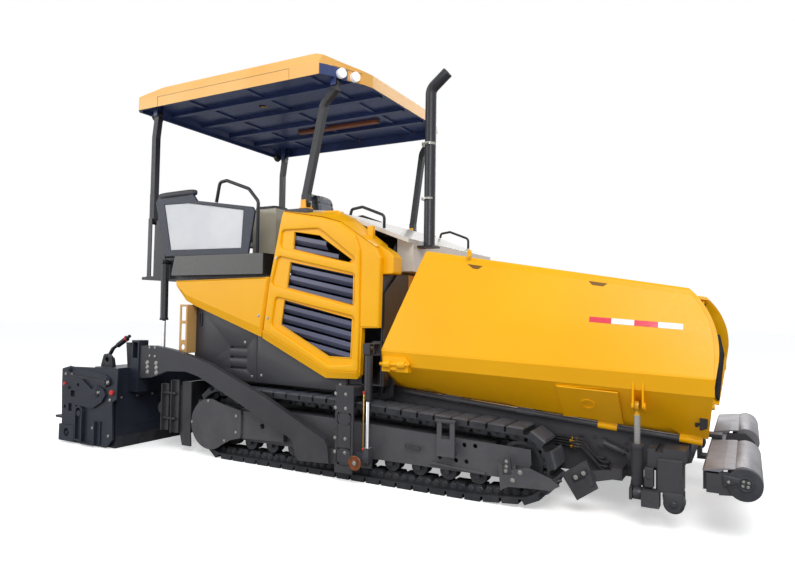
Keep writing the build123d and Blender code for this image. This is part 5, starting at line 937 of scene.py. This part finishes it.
def belt_runs():
    """The chain's straight runs: each (start, direction, length)."""
    runs = []
    for i, (cx, cz, r) in enumerate(BELT):
        dx, dz, r1 = BELT[(i + 1) % 5][0] - cx, BELT[(i + 1) % 5][1] - cz, BELT[(i + 1) % 5][2]
        reach = math.hypot(dx, dz)
        turn = math.atan2(dz, dx) + math.asin((r - r1) / reach)
        runs.append(((cx + r * math.sin(turn), cz - r * math.cos(turn)), turn,
                     math.sqrt(reach ** 2 - (r - r1) ** 2)))
    return runs


def belt_spot(distance, along, outward):
    """A spot beside the chain's pitch line: some way round it, then along and outward."""
    for (start, turn, length), (_, after, _), (cx, cz, r) in zip(RUNS, RUNS[1:] + RUNS[:1],
                                                                 BELT[1:] + BELT[:1]):
        bend = (after - turn) % (2 * math.pi)
        if distance <= length:
            x, z = start[0] + distance * math.cos(turn), start[1] + distance * math.sin(turn)
            break
        if distance <= length + bend * r:
            turn += (distance - length) / r
            x, z = cx + r * math.sin(turn), cz - r * math.cos(turn)
            break
        distance -= length + bend * r
    return (x + along * math.cos(turn) + outward * math.sin(turn),
            z + along * math.sin(turn) - outward * math.cos(turn))


def shoe_pads(bm):
    """Worn pads with chamfered ends on the shoes that are off the ground."""
    for i in range(SHOES):
        middle = (i + 0.5) * PITCH
        if belt_spot(middle, 0, 0.065)[1] < 0.10:
            continue
        loops = []
        for out, half, reach in ((0.060, 0.0655, 0.1495), (0.066, 0.0655, 0.1495), (0.0765, 0.052, 0.128)):
            loops.append([(x, -1.1 + y, z) for (x, z), y in
                          ((belt_spot(middle, along, out), y) for along, y in
                           ((-half, -reach), (half, -reach), (half, reach), (-half, reach)))])
        loft(bm, loops)


def chain_pins(bm):
    """Two pins for each shoe, their heads turned."""
    for i in range(2 * SHOES):
        x, z = belt_spot((i + 0.5) * PITCH / 2, 0, 0.0)
        turned(bm, (x, -1.174, z), (0, -1, 0),
               [(0, 0.026), (0.007, 0.026), (0.009, 0.023), (0.009, 0.014), (0.014, 0.013)], 14)


RUNS = belt_runs()
LOOP = sum(length + ((RUNS[(i + 1) % 5][1] - turn) % (2 * math.pi)) * BELT[(i + 1) % 5][2]
           for i, (start, turn, length) in enumerate(RUNS))
PITCH = LOOP / SHOES
pair("shoe_pads", shoe_pads, PAD, "tractor", "track_steel", bevel=0.002)
pair("chain_pins", chain_pins, DARK_STEEL, "tractor", "track_steel")


# ---------------------------------------------------------------- screed
def gate_caps(bm):
    """Red caps on the end gate's two spindles."""
    turned(bm, (-2.215, -1.550, 0.562), (0, -1, 0),
           [(0, 0.026), (0.016, 0.026), (0.021, 0.020), (0.021, 0.008)], 24)
    turned(bm, (-2.965, -1.550, 0.600), (0, -1, 0), [(0, 0.020), (0.014, 0.020), (0.018, 0.014)], 24)


pair("gate_caps", gate_caps, RED_PLASTIC, "screed_extension_{side}", "black_rubber")


def screed_front(bm):
    """Lower front sheet with its seam, between the auger's mounts."""
    loft(bm, [[(-2.216, y, 0.205), (-2.209, y, 0.212), (-2.209, y, 0.478), (-2.216, y, 0.486)]
              for y in (-1.494, -0.02)])


def sensor_arm(bm):
    """The levelling sensor's jointed arm, and its plate on the screed."""
    rod(bm, (-2.651, -1.300, 0.845), (-2.548, -1.300, 0.978), 0.020)
    rod(bm, (-2.560, -1.300, 0.972), (-2.293, -1.300, 1.118), 0.017)
    rod(bm, (-2.480, -1.300, 1.010), (-2.330, -1.300, 1.095), 0.027)
    side_slab(bm, [(-2.330, 1.05), (-2.265, 1.05), (-2.200, 0.90), (-2.215, 0.79), (-2.300, 0.79)], -1.285,
              -1.315)


def sensor_rings(bm):
    """Red rings on the sensor's arm."""
    rod(bm, (-2.640, -1.300, 0.858), (-2.625, -1.300, 0.878), 0.025)
    rod(bm, (-2.352, -1.300, 1.084), (-2.335, -1.300, 1.094), 0.031)


# the screed's dark grey, with painted shade and a painted blue sky reflection
pair("screed_front_sheet", screed_front, SKY_TINTED_GREY, "screed", "charcoal", bevel=0.002)
pair("screed_front_bolts",
     lambda bm: bolts(bm, [(-2.214, -1.44 + 0.19 * i, 0.503) for i in range(8)], 0.008, 0.008, (1, 0, 0)), ZINC,
     "screed", "rod_chrome")
pair("sensor_arm", sensor_arm, BLACK, "screed", "charcoal", bevel=0.003)
pair("sensor_rings", sensor_rings, RED_PLASTIC, "screed", "black_rubber", smooth=True)


# ---------------------------------------------------------------- front end
def beam_cover(bm):
    """Cover over the gap between the push beam and its roller."""
    section = [(3.076, 0.441), (3.085, 0.452), (3.200, 0.470), (3.262, 0.474), (3.262, 0.466), (3.200, 0.458),
               (3.178, 0.441)]
    loft(bm, [[(x, y, z) for x, z in section] for y in (-1.292, -0.240)])


def box_doors(bm):
    """The skid's housing with its cap, and the small door behind it."""
    box(bm, (2.805, -1.232, 0.250), (2.960, -1.040, 0.468))
    box(bm, (2.845, -1.180, 0.466), (2.925, -1.060, 0.520))
    box(bm, (2.725, -1.236, 0.272), (2.783, -1.180, 0.402))


def skid_roller(bm):
    """The skid's roller, with rounded rims."""
    turned(bm, (2.905, -1.225, 0.185), (0, 1, 0), [(0, 0.055), (0.006, 0.066), (0.104, 0.066), (0.110, 0.055)],
           32)


def skid_cheeks(bm):
    """Two cheeks that carry the skid's roller, and the block behind them."""
    for y in (-1.228, -1.102):
        soft_plate(bm, [rounded([(2.835, 0.256), (2.965, 0.262), (2.965, 0.200), (2.940, 0.140), (2.885, 0.128),
                                 (2.846, 0.170)], 0.02)], y, 0.012, 0.003, 2)
    box(bm, (2.712, -1.290, 0.156), (2.822, -1.190, 0.262))


def hose_fittings(bm):
    """Four hexagon hose fittings, one above another, on the frame."""
    for x, z in ((2.215, 0.495), (2.198, 0.475), (2.222, 0.455), (2.205, 0.435)):
        turned(bm, (x, -0.978, z), (1, 0, 0), [(-0.028, 0.008), (-0.026, 0.011), (-0.012, 0.011),
                                               (-0.011, 0.009), (0.000, 0.009), (0.001, 0.0125),
                                               (0.012, 0.0125), (0.013, 0.009), (0.026, 0.009)], 6)


pair("beam_cover", beam_cover, ROLLER, "push_beam", "roller_grey", bevel=0.002)
pair("box_doors", box_doors, CHARCOAL, "tractor", "charcoal", bevel=0.006)
pair("skid_roller", skid_roller, DARK_STEEL, "tractor", "dark_steel", bevel=0.002)
pair("skid_cheeks", skid_cheeks, CHARCOAL, "tractor", "charcoal", smooth=True)
pair("hose_fittings", hose_fittings, BRASS, "tractor", "rod_chrome")


# ---------------------------------------------------------------- canopy, exhaust
def exhaust_clamps(bm):
    """Two clamp bands round the pipe, the upper one with its screw."""
    x, y, pipe = 0.865, -0.75, 0.055
    for z, lip, width in ((2.885, 0.010, 0.026), (2.400, 0.008, 0.022)):
        turned(bm, (x, y, z), (0, 0, 1), [(0, pipe + 0.002), (0.002, pipe + lip), (width - 0.002, pipe + lip),
                                          (width, pipe + 0.002)], 32)
    rod(bm, (x - 0.03, y - pipe - 0.014, 2.898), (x + 0.03, y - pipe - 0.014, 2.898), 0.008)


def roof_strip(bm):
    """Short beam under the roof, left of its middle."""
    loft(bm,
         [[(x, 0.46, 3.600), (x, 0.54, 3.600), (x, 0.54, 3.6340), (x, 0.46, 3.6340)] for x in (-1.54, -0.41)])


def rear_lamps(bm):
    """A round lamp on its short post at the roof's rear corner."""
    turned(bm, (-2.335, -1.030, 3.500), (-1, -0.2, -0.25),
           [(-0.045, 0.030), (-0.040, 0.045), (0.000, 0.052), (0.012, 0.050), (0.012, 0.043), (0.006, 0.041)],
           24)
    rod(bm, (-2.300, -1.030, 3.520), (-2.290, -1.030, 3.640), 0.012)


single("exhaust_clamp", exhaust_clamps, ZINC, "tractor")
single("roof_strip", roof_strip, ORANGE_STRIP, "canopy_roof", bevel=0.004)
pair("rear_lamps", rear_lamps, PLASTIC, "canopy_roof", "black_rubber")


# ---------------------------------------------------------------- seats and pads
def puff(piece, voxel=0.011, cap=0.012, frames=14):
    """Swells a closed form like a stuffed cover, by cloth under pressure, and keeps it near its start."""
    scene = bpy.context.scene
    remesh = piece.modifiers.new("remesh", "REMESH")
    remesh.mode = "VOXEL"
    remesh.voxel_size = voxel
    graph = bpy.context.evaluated_depsgraph_get()
    even = bpy.data.meshes.new_from_object(piece.evaluated_get(graph))
    piece.modifiers.clear()
    piece.data = even
    start = [v.co.copy() for v in even.vertices]
    cloth = piece.modifiers.new("cloth", "CLOTH")
    cloth.settings.use_pressure = True
    cloth.settings.uniform_pressure_force = 4.0
    cloth.settings.effector_weights.gravity = 0.0
    cloth.settings.quality = 4
    cloth.point_cache.frame_end = frames
    for step in range(1, frames + 1):
        scene.frame_set(step)
    swollen = piece.evaluated_get(bpy.context.evaluated_depsgraph_get()).to_mesh()
    moved = [v.co.copy() for v in swollen.vertices]
    piece.evaluated_get(bpy.context.evaluated_depsgraph_get()).to_mesh_clear()
    piece.modifiers.clear()
    scene.frame_set(1)
    for vertex, a, b in zip(piece.data.vertices, start, moved):
        shift = b - a
        if shift.length > cap:
            shift = shift.normalized() * cap
        vertex.co = a + shift


def cushion(name, centre, half, body, tilt=0.0, panel=None, channels=0, replaces=(), soft=6.0, cap=0.010):
    """A crowned cushion with a piped seam, sewn channels and a panel, pulled in between its corners."""
    bm = bmesh.new()
    bmesh.ops.create_cube(bm, size=2.0)
    bmesh.ops.subdivide_edges(bm, edges=bm.edges[:], cuts=15, use_grid_fill=True)
    for vertex in bm.verts:
        x, y, z = vertex.co
        x, y, z = vertex.co / (abs(x) ** soft + abs(y) ** soft + abs(z) ** soft) ** (1 / soft)
        waist = 1 - 0.03 * (1 - max(abs(x), abs(y)) + min(abs(x), abs(y)))
        vertex.co = (x * half[0] * waist, y * half[1] * waist, z * half[2])
    piece = finished(name, bm, SEAT, body, smooth=True)
    puff(piece, 0.009 if min(half) < 0.05 else 0.011, cap)
    mesh = piece.data
    mesh.materials.clear()
    mesh.materials.append(SEAT)
    mesh.materials.append(panel or SEAT)
    for vertex in mesh.vertices:
        x, y, z = vertex.co
        if channels and z > 0:
            row = (x / (2 * half[0]) + 0.5) * channels
            near = abs(row - round(row)) / channels * 2 * half[0]
            if 0 < round(row) < channels:
                vertex.co.z -= 0.007 * math.exp(-(near / 0.008) ** 2)
            side = abs(abs(y) - half[1] * 0.56)
            vertex.co.z -= 0.006 * math.exp(-(side / 0.008) ** 2)
    for face in mesh.polygons:
        face.use_smooth = True
        if abs(face.center.y) < half[1] * 0.55 and abs(face.center.x) < half[0] * 0.8 and face.center.z > 0:
            face.material_index = 1
    place = Matrix.Translation(centre) @ Matrix.Rotation(tilt, 4, "Y")
    mesh.transform(place)
    finer = piece.modifiers.new("finer", "SUBSURF")
    finer.levels = finer.render_levels = 1
    if replaces:
        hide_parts(*replaces)
    return piece


def seat_base(bm, x0, y0):
    """Bellows over the suspension, between the plate and the pan that seat_pan makes."""
    sections = []
    for i in range(15):
        z = 1.745 + 0.325 * i / 14
        r = 0.118 if i % 2 else 0.130
        sections.append([(x0 + dx * r, y0 + dy * r, z) for dx, dy in ((-1, -0.8), (-0.8, -1), (0.8, -1),
                                                                      (1, -0.8), (1, 0.8), (0.8, 1), (-0.8, 1),
                                                                      (-1, 0.8))])
    loft(bm, sections)


def seat_pan(bm, x0, y0, upright):
    """Moulded pan and foot, and the back's shell where the back stands up."""
    box(bm, (x0 - 0.225, y0 - 0.215, 2.066), (x0 + 0.235, y0 + 0.215, 2.112))
    box(bm, (x0 - 0.125, y0 - 0.135, 1.7405), (x0 + 0.125, y0 + 0.135, 1.752))
    if upright:
        sections = []
        for i, (half, thick) in enumerate(((0.17, 0.033), (0.19, 0.017), (0.20, 0.017), (0.20, 0.017),
                                           (0.19, 0.017), (0.16, 0.017))):
            x, z = x0 - 0.238 - 0.008 * i, 2.10 + 0.14 * i
            sections.append([(x, y0 - half, z), (x + thick, y0 - half, z), (x + thick, y0 + half, z),
                             (x, y0 + half, z)])
        loft(bm, sections)


for x0, y0, upright in ((-1.12, -0.48, False), (-0.95, 0.48, True)):
    side = "left" if upright else "right"
    base = single(f"seat_bellows_{side}", lambda bm: seat_base(bm, x0, y0), RUBBER, "tractor",
                  bevel=0.003)
    pan = single(f"seat_pan_{side}", lambda bm: seat_pan(bm, x0, y0, upright), SEAT_SHELL, "tractor",
                 bevel=0.008)
    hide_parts("seats")
    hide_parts("seats")
    cushion(f"seat_cushion_{side}", (x0 + 0.008, y0, 2.163), (0.238, 0.230, 0.048), "tractor",
            0.0, SEAT_PANEL, 4, ("seats",))
    if upright:
        cushion("seat_back_left", (x0 - 0.192, y0, 2.510), (0.290, 0.208, 0.040), "tractor",
                math.radians(83.0), SEAT_PANEL, 5, ("seats",))
    else:
        cushion("seat_back_right", (x0 - 0.010, y0, 2.265), (0.228, 0.210, 0.040), "tractor",
                math.radians(2.5), SEAT_PANEL, 4, ("seats",))
for side, s in (("right", -1), ("left", 1)):
    cushion(f"windbreak_pad_{side}", (-1.735, s * 1.226, 2.565), (0.268, 0.032, 0.034), "tractor",
            math.radians(-1.0), None, 0, (), 5.0, 0.006)
    cushion(f"cupboard_pad_{side}", (-0.7975, s * 0.8725, 2.402), (0.148, 0.118, 0.020), "tractor",
            0.0, PAD_BLUE, 0, (), 6.0, 0.005)

for name in ("door_frame", "service_panels", "wing_skin", "skid_cheeks", "slot_plate"):
    crease_shading(name)


# ---------------------------------------------------------------- camera, lights, floor
CAMERA_PLACE = (3.3332, -5.7784, 1.4063)
CAMERA_YAW, CAMERA_PITCH, CAMERA_ROLL = 0.5028, 0.0411, 0.0154
FOCAL_LENGTH = 28.834


def make_camera():
    """The camera at a person's height, beside the hopper's front corner."""
    yaw, pitch, roll = CAMERA_YAW, CAMERA_PITCH, CAMERA_ROLL
    ahead = Vector((-math.sin(yaw) * math.cos(pitch), math.cos(yaw) * math.cos(pitch), math.sin(pitch)))
    right = ahead.cross(Vector((0, 0, 1))).normalized()
    up = right.cross(ahead)
    right_rolled = right * math.cos(roll) + up * math.sin(roll)
    up_rolled = up * math.cos(roll) - right * math.sin(roll)
    turn = Matrix((right_rolled, up_rolled, -ahead)).transposed()
    data = bpy.data.cameras.new("camera")
    data.sensor_width = 36.0
    data.lens = FOCAL_LENGTH
    data.dof.use_dof = False
    camera = bpy.data.objects.new("camera", data)
    camera.matrix_world = Matrix.Translation(CAMERA_PLACE) @ turn.to_4x4()
    bpy.context.scene.collection.objects.link(camera)
    bpy.context.scene.camera = camera


def area_light(name, at, target, size, power):
    """A round soft light aimed at a spot."""
    data = bpy.data.lights.new(name, "AREA")
    data.shape = "DISK"
    data.size = size
    data.energy = power
    lamp = bpy.data.objects.new(name, data)
    lamp.location = at
    lamp.rotation_mode = "QUATERNION"
    lamp.rotation_quaternion = (Vector(target) - Vector(at)).to_track_quat("-Z", "Y")
    bpy.context.scene.collection.objects.link(lamp)


def make_world():
    """A bluish white sky for light; seen straight or mirrored it is plain white."""
    world = bpy.data.worlds.new("studio")
    world.use_nodes = True
    tree = world.node_tree
    background = tree.nodes["Background"]
    path = tree.nodes.new("ShaderNodeLightPath")
    seen = tree.nodes.new("ShaderNodeBackground")
    seen.inputs["Color"].default_value = (1, 1, 1, 1)
    seen.inputs["Strength"].default_value = 1.0
    background.inputs["Color"].default_value = (0.93, 0.96, 1.0, 1)
    background.inputs["Strength"].default_value = 0.56
    any_seen = path.outputs["Is Camera Ray"]
    for name in ("Is Glossy Ray", "Is Transmission Ray"):
        either = tree.nodes.new("ShaderNodeMath")
        either.operation = "MAXIMUM"
        tree.links.new(any_seen, either.inputs[0])
        tree.links.new(path.outputs[name], either.inputs[1])
        any_seen = either.outputs[0]
    mix = tree.nodes.new("ShaderNodeMixShader")
    tree.links.new(any_seen, mix.inputs[0])
    tree.links.new(background.outputs[0], mix.inputs[1])
    tree.links.new(seen.outputs[0], mix.inputs[2])
    tree.links.new(mix.outputs[0], tree.nodes["World Output"].inputs["Surface"])
    bpy.context.scene.world = world


def make_floor():
    """Wide pale floor that keeps the machine's shadow."""
    bm = bmesh.new()
    bmesh.ops.create_circle(bm, cap_ends=True, segments=96, radius=60.0)
    mesh = bpy.data.meshes.new("floor")
    bm.to_mesh(mesh)
    bm.free()
    floor = bpy.data.objects.new("floor", mesh)
    floor.location.z = -0.001
    bpy.context.scene.collection.objects.link(floor)
    f = Finish("studio floor")
    seen = f.add("ShaderNodeLightPath", {}, "Is Camera Ray")
    tones = {"Factor": seen, 6: "b4b4b4", 7: f.shaded("f4f4f4", "f8f8f8", 2000, detail=3.0)}
    f.fill(f.shader.inputs["Emission Strength"], seen)
    f.shader.inputs["Emission Color"].default_value = (0.46, 0.46, 0.46, 1)
    mesh.materials.append(f.close(f.add("ShaderNodeMix", tones, 2, data_type="RGBA"),
                                  f.cloud(250, least=0.75, most=0.85, detail=3.0), specular=0.1))


make_camera()
make_world()
make_floor()
area_light("key light", (5.5, -9.0, 9.5), (0.3, 0, 1.2), 7.0, 900)
area_light("fill light", (-8.0, -8.5, 5.0), (-0.5, 0, 1.2), 8.0, 350)
area_light("back light", (2.0, 9.0, 8.0), (0, 0, 1.5), 8.0, 500)

bpy.context.scene.view_settings.view_transform = "Standard"
